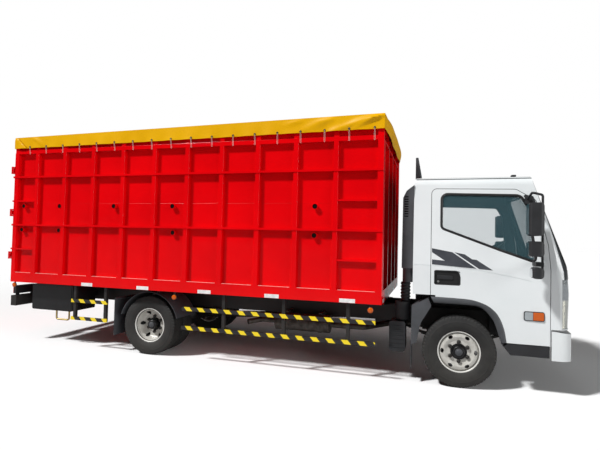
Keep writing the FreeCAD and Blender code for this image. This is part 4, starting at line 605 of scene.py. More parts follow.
def addLights():
    world = bpy.data.worlds.new("studio")
    bpy.context.scene.world = world
    world.use_nodes = True
    tree = world.node_tree
    tree.nodes.clear()
    seen = addNode(tree, "LightPath").outputs["Is Camera Ray"]
    strength = spread(tree, seen, stage["skyLit"], stage["skySeen"])
    sky = addNode(tree, "Background", {"Color": (1.0, 1.0, 1.0, 1.0), "Strength": strength})
    addNode(tree, "OutputWorld", {"Surface": sky.outputs[0]})
    for name, sun in lights.items():
        lamp = bpy.data.lights.new(name, "SUN")
        lamp.energy = sun["power"]
        lamp.angle = math.radians(sun["spread"])
        light = bpy.data.objects.new(name, lamp)
        light.rotation_euler = (math.radians(sun["tilt"]), 0, math.radians(sun["turn"]))
        bpy.context.scene.collection.objects.link(light)


placeCamera()
layFloor()
addLights()
bpy.context.scene.view_settings.view_transform = "Standard"
print("truck scene: camera, floor and light")


# The cab's skin, and trim that follows it

def leaned(line, z):
    # one of the skin's straight lines at height z
    start, lean, height = cabSkin[line]
    return start + lean * (z - height)


def skinY(z):
    # half width of the cab at height z: wider up to the belt line, then leaning in
    return np.minimum(leaned("sill", z), leaned("sideTop", z))


def onSide(side):
    # places a point x ahead of the front axle at height z, lifted off the cab's side skin
    return lambda x, z, lift: np.stack([frontAxleX + x, side * (skinY(z) + lift), z], -1)


def onNose(y, z, lift):
    # the nose leans out to the belt line, the screen leans back above it, and both sweep back to the sides
    x = np.minimum(np.minimum(leaned("bumper", z), leaned("nose", z)), leaned("screen", z))
    x = x - cabSkin["sweep"] * np.maximum(0, np.abs(y) - cabSkin["sweepFrom"])
    return np.stack([frontAxleX + x + lift, y, z], -1)


def denser(outline, step=0.06):
    # more points on the long stretches of a closed outline
    ends = np.roll(outline, -1, 0)
    counts = np.maximum(1, np.ceil(np.linalg.norm(ends - outline, axis=1) / step).astype(int))
    return np.vstack([a + (b - a) * np.linspace(0, 1, n, endpoint=False)[:, None]
                      for a, b, n in zip(outline, ends, counts)])


def evenly(corners, count):
    # points at equal steps along the smooth curve through the corners
    curve = smoothPath(corners, 12)
    run = np.concatenate([[0], np.cumsum(np.linalg.norm(np.diff(curve, axis=0), axis=1))])
    at = np.linspace(0, run[-1], count)
    return np.stack([np.interp(at, run, curve[:, k]) for k in range(curve.shape[1])], -1)


def sweepTrim(name, outline, section, place, finish, body):
    # a section of (out, lift) points carried round a closed outline, square to it, on a skin
    section = np.asarray(section, float)
    u, v = outline.T
    ahead = np.roll(outline, -1, 0) - np.roll(outline, 1, 0)
    ahead /= np.linalg.norm(ahead, axis=1)[:, None]
    sense = np.sign(np.sum(u * np.roll(v, -1) - v * np.roll(u, -1)))
    out = sense * np.stack([ahead[:, 1], -ahead[:, 0]], -1)
    across = outline[:, None] + out[:, None] * section[None, :, :1]
    lift = np.broadcast_to(section[None, :, 1], across.shape[:2])
    points = place(across[..., 0], across[..., 1], lift)
    piece = makePiece(name, points, gridFaces(len(outline), len(section), True, True), finish, body)
    facesOut(piece)
    return piece


def bandPiece(name, outer, inner, lifts, under, place, finish, body, steps=44):
    # a moulding between two edge curves: 'lifts' are its heights off the skin across it, 'under' its back
    outer, inner = evenly(outer, steps), evenly(inner, steps)
    share = np.linspace(0, 1, len(lifts))
    share = np.concatenate([share, share[::-1]])
    lift = np.concatenate([lifts, np.full(len(lifts), under)])
    edge = outer[:, None] + (inner - outer)[:, None] * share[None, :, None]
    points = place(edge[..., 0], edge[..., 1], np.broadcast_to(lift, edge.shape[:2]))
    piece = makePiece(name, points, tubeFaces(steps, len(lift)), finish, body)
    facesOut(piece)
    return piece


def skinPlate(name, outlines, low, high, place, finish, body, bevel=0.0):
    # each outline as a plate that follows the skin, from lift 'low' to lift 'high'
    shells = []
    for outline in outlines:
        count = len(outline)
        faces = [list(f) for f in gridFaces(2, count, wrapCols=True)]
        faces += [list(range(count))[::-1], list(range(count, 2 * count))]
        shells.append(([place(outline[:, 0], outline[:, 1], lift) for lift in (low, high)], faces))
    piece = makePiece(name, *joined(shells), finish, body, smooth=False)
    facesOut(piece)
    if bevel:
        softenEdges(piece, bevel)
    return piece


def softenEdges(piece, width):
    edge = piece.modifiers.new("softEdge", "BEVEL")
    edge.width = width
    edge.segments = 2
    edge.limit_method = "ANGLE"


def filmPiece(name, tables, place, finish, body, thick=0.0007):
    # thin films, each cut by a table of (height, start, end) from its top to its foot
    shells = []
    for table in tables:
        t = np.asarray(table, float)
        z = np.concatenate([np.linspace(a, b, 6, endpoint=False) for a, b in zip(t[:-1, 0], t[1:, 0])]
                           + [t[-1:, 0]])
        across = np.stack([np.interp(-z, -t[:, 0], t[:, k]) for k in (1, 1, 2, 2)], -1)
        lift = np.broadcast_to(np.array([0.0001, thick, thick, 0.0001]), across.shape)
        shells.append((place(across, np.broadcast_to(z[:, None], across.shape), lift), tubeFaces(len(z), 4)))
    piece = makePiece(name, *joined(shells), finish, body, smooth=False)
    facesOut(piece)
    return piece


def hitOn(node, start, ahead):
    # where a ray meets a CAD node
    return frame["nodes"][node].ray_cast(Vector(start), Vector(ahead))[1]


# Cab doors: window seals, stripes, handle, side lamp, arch moulding, mirror foot

doorTrim = {
    "window": [(-0.190, 2.096, 0.055), (0.600, 2.075, 0.070), (0.672, 1.950, 0.060), (0.742, 1.380, 0.030),
               (0.396, 1.501, 0.300), (-0.190, 1.722, 0.045)],
    "seal": [(-0.009, -0.0075), (-0.009, -0.002), (-0.002, 0.0035), (0.012, 0.0035), (0.018, 0.0003),
             (0.0, -0.001), (-0.0006, -0.0075)],
    "stripes": [
        [(1.496, -0.2925, -0.292), (1.458, -0.291, -0.078), (1.452, -0.291, -0.069), (1.363, -0.155, 0.060)],
        [(1.373, -0.2905, -0.290), (1.3631, -0.290, -0.155), (1.363, -0.290, 0.060), (1.319, -0.290, 0.124),
         (1.289, 0.167, 0.168)],
        [(1.459, -0.0595, -0.059), (1.438, -0.028, 0.050), (1.388, 0.045, 0.122), (1.384, 0.051, 0.167),
         (1.286, 0.195, 0.317), (1.277, 0.330, 0.331)]],
    "recess": [(-0.258, 1.107, 0.012), (-0.258, 1.252, 0.012), (-0.022, 1.252, 0.030), (0.001, 1.190, 0.030),
               (0.001, 1.107, 0.012)],
    "bar": [(-0.236, 1.160, 0.016), (-0.236, 1.204, 0.016), (-0.070, 1.204, 0.016), (-0.070, 1.160, 0.016)],
    "lampBase": [(0.628, 0.772, 0.020), (0.628, 0.870, 0.020), (0.824, 0.870, 0.020), (0.824, 0.772, 0.020)],
    "lampClear": [(0.636, 0.780, 0.014), (0.636, 0.862, 0.014), (0.714, 0.862, 0.004), (0.714, 0.780, 0.004)],
    "lampAmber": [(0.717, 0.780, 0.004), (0.717, 0.862, 0.004), (0.816, 0.862, 0.014), (0.816, 0.780, 0.014)],
    "archOuter": [(-0.297, 0.966), (-0.172, 0.966), (0.094, 0.957), (0.231, 0.924), (0.322, 0.874),
                  (0.390, 0.798), (0.442, 0.674), (0.470, 0.527)],
    "archInner": [(-0.262, 0.900), (-0.180, 0.900), (0.090, 0.897), (0.196, 0.883), (0.258, 0.846),
                  (0.312, 0.786), (0.354, 0.716), (0.415, 0.527)],
    "panelOuter": [(0.200, 0.936), (0.300, 0.934), (0.390, 0.926), (0.428, 0.902), (0.458, 0.860),
                   (0.480, 0.812), (0.494, 0.750), (0.498, 0.620), (0.506, 0.527)],
    "panelInner": [(0.196, 0.932), (0.255, 0.912), (0.318, 0.872), (0.352, 0.842), (0.386, 0.796),
                   (0.414, 0.743), (0.437, 0.672), (0.453, 0.600), (0.464, 0.527)],
    "mirrorFoot": [(0.618, 2.092, 0.014), (0.722, 2.072, 0.014), (0.752, 1.985, 0.020), (0.770, 1.905, 0.010),
                   (0.712, 1.905, 0.020), (0.690, 1.975, 0.050)],
}

for side, where in bothSides:
    door = "side_door_" + where.lower()
    place = onSide(side)
    shape = {name: denser(roundedOutline(doorTrim[name])) for name in
             ("window", "recess", "bar", "lampBase", "lampClear", "lampAmber", "mirrorFoot")}
    sweepTrim("windowSeal" + where, shape["window"], doorTrim["seal"], place, "rubber", door)
    filmPiece("doorStripes" + where, doorTrim["stripes"], place, "decal", door)
    skinPlate("handleDish" + where, [shape["recess"]], -0.0148, -0.0125, place, "rubber", door)
    sweepTrim("handleRim" + where, shape["recess"],
              [(-0.003, -0.0125), (-0.003, 0.0005), (0.001, 0.0022), (0.006, 0.0018), (0.0075, 0.0003),
               (0.0, 0.0002), (0.0, -0.0125)], place, "plastic", door)
    skinPlate("handleBar" + where, [shape["bar"]], -0.0105, -0.0005, place, "plastic", door, 0.0035)
    ringsPiece("doorLock" + where, [place(np.float64(-0.222), np.float64(1.134), -0.0122)], "y",
               np.array([(0, 0.0), (0.0022, 0.004), (0.0026, 0.011), (0.0016, 0.0118), (0, 0.0122)])
               * [side, 1], 24, "steel", door)
    skinPlate("sideLampBase" + where, [shape["lampBase"]], 0.0003, 0.006, place, "plastic", door, 0.003)
    skinPlate("sideLampClear" + where, [shape["lampClear"]], 0.0061, 0.016, place, "clearLens", door, 0.004)
    skinPlate("sideLampAmber" + where, [shape["lampAmber"]], 0.0061, 0.017, place, "amberLens", door, 0.004)
    bandPiece("archMoulding" + where, doorTrim["archOuter"], doorTrim["archInner"],
              [0.0007, 0.010, 0.0140, 0.0150, 0.0145, 0.012, 0.0002], -0.030, place, "greyPlastic", door)
    bandPiece("archPanel" + where, doorTrim["panelOuter"], doorTrim["panelInner"], [0.0006, 0.0006, 0.0006],
              -0.012, place, "white", door)
    skinPlate("mirrorFoot" + where, [shape["mirrorFoot"]], 0.0003, 0.014, place, "plastic", door, 0.004)
print("truck scene: door trim")

# Mirror glasses: silvered plates on the rear faces of the housings

mirrorGlass = {"rear": 0.624, "outer": 1.280, "inset": 0.013, "corner": 0.02, "lowHead": 1.40,
               "lowAhead": 0.032,
               "heads": ((1.647, 1.976, 0.165), (1.442, 1.594, 0.150), (1.226, 1.335, 0.150))}


def onMirror(y, z, lift):
    # the housings' rear faces; the lowest housing stands further ahead
    ahead = np.where(z < mirrorGlass["lowHead"], mirrorGlass["lowAhead"], 0.0)
    return np.stack([frontAxleX + mirrorGlass["rear"] + ahead + lift, y, z], -1)


for side, where in bothSides:
    outlines, inset, r = [], mirrorGlass["inset"], mirrorGlass["corner"]
    for low, high, deep in mirrorGlass["heads"]:
        near, far = inset - mirrorGlass["outer"], deep - mirrorGlass["outer"] - inset
        foot, top = low + inset, high - inset
        corners = [(near, foot, r), (near, top, r), (far, top, r), (far, foot, r)]
        outlines.append(roundedOutline(corners) * [-side, 1])
    skinPlate("mirrorGlass" + where, outlines, -0.0022, -0.0003, onMirror, "chrome",
              "side_door_" + where.lower())

# Nose: windscreen and rear window seals, wipers, lamp units, fog lamps, roof lamps

nose = {
    "screen": [(-0.905, 1.325, 0.060), (-0.830, 2.165, 0.090), (0.830, 2.165, 0.090), (0.905, 1.325, 0.060)],
    "screenSeal": [(-0.012, -0.0072), (-0.012, -0.001), (-0.003, 0.004), (0.014, 0.004), (0.020, 0.0005),
                   (0.0, -0.001), (-0.0006, -0.0072)],
    "rearWindow": [(-0.520, 1.560, 0.050), (-0.520, 2.000, 0.050), (0.520, 2.000, 0.050),
                   (0.520, 1.560, 0.050)],
    "louvreX": -0.575, "louvreZ": 1.850, "louvrePitch": 0.0275, "louvres": 9, "louvre": (0.022, 0.0065),
    "lampDraw": 0.006, "fogY": 0.760, "fogZ": 0.505, "fogRadius": 0.046,
    "roofLamps": (0.80, 0.30), "roofLamp": (0.024, 0.036, 0.020),
}
sweepTrim("screenSeal", denser(roundedOutline(nose["screen"])), nose["screenSeal"], onNose, "rubber", "cab")


def onBack(y, z, lift):
    # the cab's upright rear wall, lifted rearwards
    return np.stack([frontAxleX + nose["backX"] - lift + 0 * y, y, z], -1)


nose["backX"] = hitOn("cab_shell", (frontAxleX - 1.2, 0.0, 1.5), (1, 0, 0)).x - frontAxleX
sweepTrim("rearWindowSeal", denser(roundedOutline(nose["rearWindow"])), nose["screenSeal"], onBack,
          "rubber", "cab")


wiper = {"feet": (-0.62, 0.10), "reach": 0.58, "z": 1.272, "rise": 0.10, "bladeZ": 0.083, "bladeRise": 0.030,
         "armLift": 0.0125, "armBow": 0.0010, "bladeLift": 0.012, "points": 9, "armPoints": 6}


def makeWipers():
    # two arms lie along the foot of the screen; each carries a blade that leans on the glass
    boss = np.array([(0, 0.017), (0.010, 0.016), (0.015, 0.010), (0.0155, 0.0)])
    arms, blades = [], []
    rise = np.linspace(0, 1, wiper["points"])
    near = rise[:wiper["armPoints"]]
    for foot in wiper["feet"]:
        y = np.linspace(foot, foot + wiper["reach"], wiper["points"])
        arms.append(onNose(y[:len(near)], wiper["z"] + wiper["rise"] * near,
                           wiper["armLift"] + wiper["armBow"] * np.sin(np.pi * near)))
        blades.append(onNose(y + 0.02, wiper["z"] + wiper["bladeZ"] + wiper["bladeRise"] * rise,
                             np.full(len(rise), wiper["bladeLift"])))
        seat = onNose(np.float64(foot), np.float64(wiper["z"]), 0.001)
        ringsPiece("wiperBoss%d" % len(arms), [seat], "x", boss, 20, "plastic", "cab")
    tubePiece("wiperArms", arms, 0.006, "plastic", "cab")
    tubePiece("wiperBlades", blades, 0.0075, "rubber", "cab", sides=6)


makeWipers()


def makeLampUnits():
    # the unit behind each lens: the lens solid's own surface drawn in along its normals
    work = bmesh.new()
    work.from_mesh(frame["nodes"]["headlamps"].data)
    bmesh.ops.remove_doubles(work, verts=work.verts, dist=1e-5)
    work.normal_update()
    mesh = bpy.data.meshes.new("lampUnits")
    work.to_mesh(mesh)
    work.free()
    place, normal = np.empty(len(mesh.vertices) * 3), np.empty(len(mesh.vertices) * 3)
    mesh.vertices.foreach_get("co", place)
    mesh.vertices.foreach_get("normal", normal)
    mesh.vertices.foreach_set("co", place - nose["lampDraw"] * normal)
    mesh.materials.clear()
    mesh.materials.append(finishes["lampUnit"])
    piece = bpy.data.objects.new("lampUnits", mesh)
    bpy.context.scene.collection.objects.link(piece)
    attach(piece, "cab")


makeLampUnits()
# each wheel arch's plastic liner: a plate behind the wheel and one inside it, as ranges of x, y and z
archLiner = (((0.474, 0.480), (0.480, 0.945), (0.522, 0.905)),
             ((0.355, 0.474), (0.464, 0.470), (0.500, 0.905)))
boxesPiece("archLiners", [sideBox(side, fromAxle(*x), y, z) for x, y, z in archLiner for side in (-1, 1)],
           "plastic", "cab", 0.002)


def makeFogLamps():
    # a domed glass in a plated ring, seated on the floor of each pocket in the bumper
    seats = []
    for side in (-1, 1):
        floor = hitOn("bumper", (frontAxleX + 1.4, side * nose["fogY"], nose["fogZ"]), (-1, 0, 0))
        seats.append(floor + Vector((0.0012, 0, 0)))
    r = nose["fogRadius"]
    dome = np.array([(0.0, r - 0.002), (0.003, r - 0.004), (0.006, r * 0.6), (0.0075, r * 0.3), (0.008, 0.0)])
    ringsPiece("fogGlasses", seats, "x", dome, 32, "clearLens", "chassis")
    rim = np.array([(0.0, r), (0.008, r), (0.0095, r - 0.003), (0.008, r - 0.006), (0.0, r - 0.007),
                    (0.0, r)])
    ringsPiece("fogRims", seats, "x", rim, 32, "chrome", "chassis")


makeFogLamps()


def makeRoofLamps():
    # small clearance lamps seated on the roof where it starts to fall to the screen
    seats = []
    long, wide, high = nose["roofLamp"]
    for reach in nose["roofLamps"]:
        for side in (-1, 1):
            top = hitOn("cab_shell", (frontAxleX + 0.55, side * reach, 2.6), (0, 0, -1))
            seats.append((top - Vector((long, wide, 0.001)), top + Vector((long, wide, high))))
    boxesPiece("roofLamps", seats, "plastic", "cab", 0.006)


makeRoofLamps()


def makeLouvres():
    # the air intake draws through narrow slots in the snorkel's outer face; each slot is a black box on the
    # face, painted shade for its dark opening
    slots = []
    long, half = nose["louvre"]
    for z in nose["louvreZ"] + nose["louvrePitch"] * np.arange(nose["louvres"]):
        face = hitOn("snorkel", (frontAxleX + nose["louvreX"], -1.3, z), (0, 1, 0))
        slots.append(((face.x - long, face.y - 0.0008, z - half), (face.x + long, face.y + 0.0012, z + half)))
    boxesPiece("snorkelLouvres", slots, "bore", "cab")


makeLouvres()
print("truck scene: nose and mirrors")

# Tyres: ribs parted by four zigzag grooves, shoulder blocks and moulded sidewall rings

tyre = {"radius": 0.3832, "half": 0.106, "lugs": 60, "groove": 0.009, "side": 0.007, "zigzag": 0.0028,
        "grooves": (-0.057, -0.020, 0.020, 0.057), "phases": (0.0, 0.03, 0.20, 0.23), "crown": 0.004,
        "front": 0.990, "rear": 1.030, "twin": 0.034, "wall": (0.0030, 0.0048), "middle": 0.038,
        "ribs": 0.0700, "crownHalf": 0.0915, "inGroove": 0.0035, "middleCut": 0.003,
        "swing": (0.0385, 0.025), "wallCut": (0.365, 0.6),
        "shoulder": (0.0690, 0.0705, 0.080, 0.0895)}
sidewall = np.array([(0.0815, 0.2224), (0.0840, 0.2232), (0.0885, 0.2290), (0.0950, 0.2430), (0.0976, 0.2560),
                     (0.0990, 0.2590),
                     (0.1028, 0.2760), (0.1052, 0.2950), (0.1054, 0.3130), (0.1050, 0.3180), (0.1058, 0.3195),
                     (0.1057, 0.3235), (0.1046, 0.3255), (0.1022, 0.3420), (0.0990, 0.3570), (0.0955, 0.3690),
                     (0.0925, 0.3758)])


def tyreGrid():
    # radius over (turn, section): the crown's arc less the deeper of the long and the cross grooves
    shoulder, middle = np.array(tyre["shoulder"]), tyre["middle"]
    walls = [g + s * w for g in tyre["grooves"] for w in tyre["wall"] for s in (-1, 1)]
    across = np.sort(np.concatenate([-shoulder, walls, shoulder, [-middle, 0.0, middle]]))
    long = np.array([min(abs(a - g) for g in tyre["grooves"]) < tyre["inGroove"] for a in across], float)
    shoulder = (np.abs(across) > tyre["ribs"]).astype(float)
    middle = (np.abs(np.abs(across) - middle) < 0.001).astype(float)
    radius = tyre["radius"] - tyre["crown"] * (across / tyre["crownHalf"]) ** 2
    phases = np.array(tyre["phases"])
    turn = (np.arange(tyre["lugs"])[:, None] + phases[None]) / tyre["lugs"] * 2 * np.pi
    cut = np.tile([0.0, 1.0, 1.0, 0.0], tyre["lugs"])
    swing = np.repeat(np.where(np.arange(tyre["lugs"]) % 2, 1.0, -1.0), len(phases)) * tyre["zigzag"]
    crossCut = shoulder * tyre["side"] + middle * tyre["middleCut"]
    depth = np.maximum(long[None] * tyre["groove"], cut[:, None] * crossCut[None])
    swingAt, swingWithin = tyre["swing"]
    along = across[None] + swing[:, None] * (np.abs(np.abs(across) - swingAt) < swingWithin)[None]
    crown = radius[None] - depth
    low, high = sidewall * [-1, 1], sidewall[::-1]
    rows = len(cut)
    above, share = tyre["wallCut"]
    edge = cut[:, None] * np.where(sidewall[:, 1] > above, tyre["side"] * share, 0)[None]
    along = np.hstack([np.tile(low[:, 0], (rows, 1)), along, np.tile(high[:, 0], (rows, 1))])
    radius = np.hstack([np.tile(low[:, 1], (rows, 1)) - edge, crown,
                        np.tile(high[:, 1], (rows, 1)) - edge[:, ::-1]])
    return turn.ravel(), along, radius


def makeTyre(name, node, body, centres):
    turn, along, radius = tyreGrid()
    out, up = radius * np.sin(turn[:, None]), radius * np.cos(turn[:, None])
    faces = gridFaces(*radius.shape, wrapRows=True, wrapCols=True)
    shells = [(np.stack([x + out, y + along, axleZ + up], -1), faces) for x, y in centres]
    piece = makePiece(name, *joined(shells), "tyre", body)
    facesOut(piece)
    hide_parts(node)
    return piece


for side, where in bothSides:
    low = where.lower()
    outer = tyre["rear"] - tyre["half"]
    inner = outer - 2 * tyre["half"] - tyre["twin"]
    makeTyre("tyreFront" + where, "tyre_front_" + low, "wheel_front_" + low,
             [(frontAxleX, side * (tyre["front"] - tyre["half"]))])
    makeTyre("tyresRear" + where, "tyres_rear_" + low, "wheels_rear_" + low,
             [(rearAxleX, side * outer), (rearAxleX, side * inner)])
print("truck scene: tyres")

# Wheel nuts and hub caps, seated on the rims

wheelNuts = {"circle": 0.1025, "count": 6, "radius": 0.0205, "frontFace": 0.944, "rearFace": 0.8855,
             "height": 0.0275, "frontHub": 0.982, "rearHub": 0.966}


def makeNuts(name, x, side, face, hub, body):
    # chamfered hexagon nuts over the rim's own, a dark flange ring under them and a cap on the hub
    turn = np.arange(wheelNuts["count"]) * np.pi / 3
    circle = wheelNuts["circle"]
    seats = [(x + circle * math.sin(t), side * face, axleZ + circle * math.cos(t)) for t in turn]
    r, high = wheelNuts["radius"], wheelNuts["height"]
    nut = np.array([(-0.001, 0.0), (-0.001, r + 0.003), (0.003, r + 0.003), (0.004, r), (high - 0.004, r),
                    (high, r - 0.004), (high, 0.008), (high + 0.004, 0.0075), (high + 0.005, 0.0)])
    ringsPiece("nuts" + name, seats, "y", nut * [side, 1], 6, "chassis", body)
    cap = np.array([(0.0002, 0.0), (0.0002, 0.038), (0.004, 0.0375), (0.006, 0.034), (0.0062, 0.026),
                    (0.0085, 0.024), (0.010, 0.017), (0.0105, 0.0)])
    ringsPiece("hubCap" + name, [(x, side * hub, axleZ)], "y", cap * [side, 1], 32, "greyPlastic", body)


for side, where in bothSides:
    low = where.lower()
    makeNuts("Front" + where, frontAxleX, side, wheelNuts["frontFace"], wheelNuts["frontHub"],
             "wheel_front_" + low)
    makeNuts("Rear" + where, rearAxleX, side, wheelNuts["rearFace"], wheelNuts["rearHub"],
             "wheels_rear_" + low)

# Rear doors: on each lock bar a clamp with a flat lever that points to the meeting edge

rearDoor = {"bars": (0.334, 0.751), "leverZ": 1.55, "plate": 0.018, "clamp": (0.022, 0.030),
            "lever": (0.010, 0.210, 0.015)}


def makeRearFittings():
    bodies = frame["record"]["behaviour"]["bodies"]
    barX = bodyRearX - rearDoor["plate"] - 0.003
    z = rearDoor["leverZ"]
    wide, high = rearDoor["clamp"]
    start, end, half = rearDoor["lever"]
    for side, where in bothSides[::-1]:
        leaf = "rear_door_" + where.lower()
        rides = [name for name, members in bodies.items() if leaf in members][0]
        clamps = [sideBox(side, (barX - 0.019, barX + 0.012), (y - wide, y + wide), (z - high, z + high))
                  for y in rearDoor["bars"]]
        levers = [sideBox(side, (barX - 0.019, barX - 0.008), (y - start, y - end), (z - half, z + half))
                  for y in rearDoor["bars"]]
        boxesPiece("lockClamps" + where, clamps, "chassis", rides, 0.004)
        boxesPiece("lockLevers" + where, levers, "steel", rides, 0.004)


makeRearFittings()
print("truck scene: wheels' nuts and rear door levers")

# Load body: reflective tapes, marker lamps on stems, weld seams, shelves behind the rails, stub collars,
# rear lamp glasses

loadBody = {"face": 1.150, "sheet": 1.100, "tapeX": (-4.752, -3.876, -2.986, -2.099, -1.197),
            "tapeZ": (0.862, 0.906), "tapeHalf": 0.090, "frontTapes": (-0.95, -0.35, 0.35, 0.95),
            "frontTapeHalf": 0.08, "film": (0.0001, 0.0009), "lampX": (-6.037, -3.418, -0.937),
            "lampZ": (0.815, 0.789, 0.791), "lampY": 1.126, "seamZ": 1.983, "ribs": 10, "firstRib": -1.355,
            "lastRib": -5.686, "ribHalf": 0.036, "frontEdge": -0.846, "rearEdge": -6.050, "seam": 0.0012,
            "belts": (1.675, 2.360), "rungs": (1.334, 2.016), "web": 0.006, "webGap": 0.030,
            "beltHalf": 0.013, "rungHalf": 0.011, "railEnd": (1.128, 1.157), "topRail": (2.7065, 2.744),
            "frontPost": -0.820, "ledge": (0.9965, 1.0015), "ledgeGap": 0.045, "stubFace": 1.138,
            "stubBore": 0.0300, "stubZ": (1.945, 1.608),
            "upperStubs": (-5.908, -5.270, -4.370, -3.477, -1.595),
            "lowerStubs": (-5.927, -5.271, -3.462, -1.598)}


def ribPlaces():
    return np.linspace(loadBody["firstRib"], loadBody["lastRib"], loadBody["ribs"])


def makeTapes():
    # prismatic tape on the bottom rail, between the ribs, and on the foot of the front wall
    low, high = loadBody["film"]
    skin, half = (loadBody["face"] + low, loadBody["face"] + high), loadBody["tapeHalf"]
    boxes = [sideBox(side, fromAxle(x - half, x + half), skin, loadBody["tapeZ"])
             for x in loadBody["tapeX"] for side in (-1, 1)]
    half = loadBody["frontTapeHalf"]
    for y in loadBody["frontTapes"]:
        face = hitOn("load_wall_front", (frontAxleX - 0.6, y, 0.885), (-1, 0, 0)).x
        boxes.append(sideBox(1, (face + low, face + high), (y - half, y + half), loadBody["tapeZ"]))
    boxesPiece("reflectiveTapes", boxes, "tape", "chassis")


def makeMarkers():
    # amber lens discs on black bases, each on a flat stem that hangs from the bottom rail
    lens = np.array([(0.0, 0.031), (0.009, 0.030), (0.014, 0.024), (0.0165, 0.012), (0.017, 0.0)])
    base = np.array([(-0.012, 0.0), (-0.012, 0.033), (-0.002, 0.035), (0.0, 0.034), (0.0, 0.0)])
    stems, y = [], loadBody["lampY"]
    for side, where in bothSides:
        spots = [(frontAxleX + x, side * y, z) for x, z in zip(loadBody["lampX"], loadBody["lampZ"])]
        ringsPiece("markerLens" + where, spots, "y", lens * [side, 1], 28, "amberLens", "chassis")
        ringsPiece("markerBase" + where, spots, "y", base * [side, 1], 28, "plastic", "chassis")
        stems += [sideBox(side, fromAxle(x - 0.014, x + 0.014), (y - 0.016, y - 0.012),
                          (z - 0.02, railZ - 0.0003)) for x, z in zip(loadBody["lampX"], loadBody["lampZ"])]
    boxesPiece("markerStems", stems, "chassis", "chassis", 0.001)


def makeSeams():
    # the butt weld between the two sheets of each bay, a low bead from rib to rib
    ribs, half = ribPlaces(), loadBody["ribHalf"]
    paths = []
    for start, end in zip(ribs[:-1], ribs[1:]):
        x = frontAxleX + np.linspace(start - half, end + half, 12)
        for side in (-1, 1):
            y = np.full(12, side * loadBody["sheet"])
            paths.append(np.stack([x, y, np.full(12, loadBody["seamZ"])], -1))
    tubePiece("weldSeams", paths, loadBody["seam"], "red", "chassis", sides=6)


def makeWebs():
    # behind each belt rail a shelf from the sheet out to the rail, bay by bay, the rails' ends past the rear,
    # and a painted highlight on the bottom rail's rolled upper edge: pale pink strips between the ribs
    edges = np.concatenate([[loadBody["frontEdge"]], ribPlaces(), [loadBody["rearEdge"]]])
    bays = list(zip(edges[:-1], edges[1:]))
    sheet, face, web = loadBody["sheet"], loadBody["face"], loadBody["web"]
    shelves, ends, highlightStrips = [], [], []
    rails = [(z, loadBody["beltHalf"]) for z in loadBody["belts"]]
    rails += [(z, loadBody["rungHalf"]) for z in loadBody["rungs"]]
    for side in (-1, 1):
        for z in loadBody["belts"]:
            shelves += [sideBox(side, fromAxle(end + loadBody["webGap"], start - loadBody["webGap"]),
                                (sheet - 0.0005, face - 0.0005), (z - web, z + web)) for start, end in bays]
        ends += [sideBox(side, (bodyRearX - 0.018, bodyRearX + 0.004), loadBody["railEnd"],
                         (z - half, z + half)) for z, half in rails]
        # painted highlight strips along the top of the bottom rail, between the ribs
        highlightStrips += [sideBox(side, fromAxle(end + loadBody["ledgeGap"], start - loadBody["ledgeGap"]),
                           (face - 0.003, face + 0.0008), loadBody["ledge"]) for start, end in bays]
    shelves += [sideBox(side, (bodyRearX + 0.004, frontAxleX + loadBody["frontPost"]),
                        (sheet + 0.002, face - 0.002), loadBody["topRail"]) for side in (-1, 1)]
    boxesPiece("beltShelves", shelves, "red", "chassis", 0.001)
    boxesPiece("railEnds", ends, "red", "chassis", 0.002)
    boxesPiece("ledgeEdges", highlightStrips, "rubbed", "chassis", 0.001)


def makeBores():
    # each pipe stub ends in a collar round a black disc at its mouth, painted shade for the dark inside of
    # the bore
    r = loadBody["stubBore"]
    disc = np.array([(-0.001, 0.0), (-0.001, r), (0.0006, r), (0.0006, 0.0)])
    collar = np.array([(-0.012, r), (0.006, r), (0.006, r + 0.0035), (-0.012, r + 0.0035), (-0.012, r)])
    rows = list(zip((loadBody["upperStubs"], loadBody["lowerStubs"]), loadBody["stubZ"]))
    for side, where in bothSides:
        mouths = [(frontAxleX + x, side * loadBody["stubFace"], z) for row, z in rows for x in row]
        ringsPiece("stubBores" + where, mouths, "y", disc * [side, 1], 20, "bore", "chassis")
        ringsPiece("stubCollars" + where, mouths, "y", collar * [side, 1], 20, "red", "chassis")


rearGlass = {"radius": 0.0435, "z": 0.732,
             "lenses": (("Red", "redLens", 0.748), ("Amber", "amberLens", 0.865),
                        ("Clear", "clearLens", 0.982))}


def makeRearGlasses():
    # three lens discs a side over the rear lamps, flush with the CAD lens and its rim
    r = rearGlass["radius"]
    dome = np.array([(0.0, r), (-0.0012, r - 0.001), (-0.003, r * 0.75), (-0.0042, r * 0.4), (-0.0045, 0.0)])
    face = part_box("rear_lamps")[0].x + 0.0002
    for name, finish, reach in rearGlass["lenses"]:
        places = [(face, side * reach, rearGlass["z"]) for side in (-1, 1)]
        ringsPiece("rearGlass" + name, places, "x", dome, 32, finish, "chassis")


for make in (makeTapes, makeMarkers, makeSeams, makeWebs, makeBores, makeRearGlasses):
    make()
print("truck scene: load body fittings")

# Tarpaulin

tarpCover = {"half": 1.1553, "front": bodyFrontX + 0.0053, "rear": bodyRearX - 0.0053, "frontEdge": 2.984,
             "rearEdge": 2.930, "crown": 0.042, "frontHem": 2.812, "rearHem": 2.770, "bows": 6, "sag": 0.010,
             "bulge": 0.050, "step": 0.035, "across": 67, "drops": 12, "rearFine": (0.50, 90),
             "frontFine": (0.70, 56), "pleat": 0.004, "pleatPitch": 0.70, "frontDip": 0.035}


def tarpBase(x):
    # share of the way from the rear end (0) to the front end (1)
    return np.clip((x - tarpCover["rear"]) / (tarpCover["front"] - tarpCover["rear"]), 0, 1)


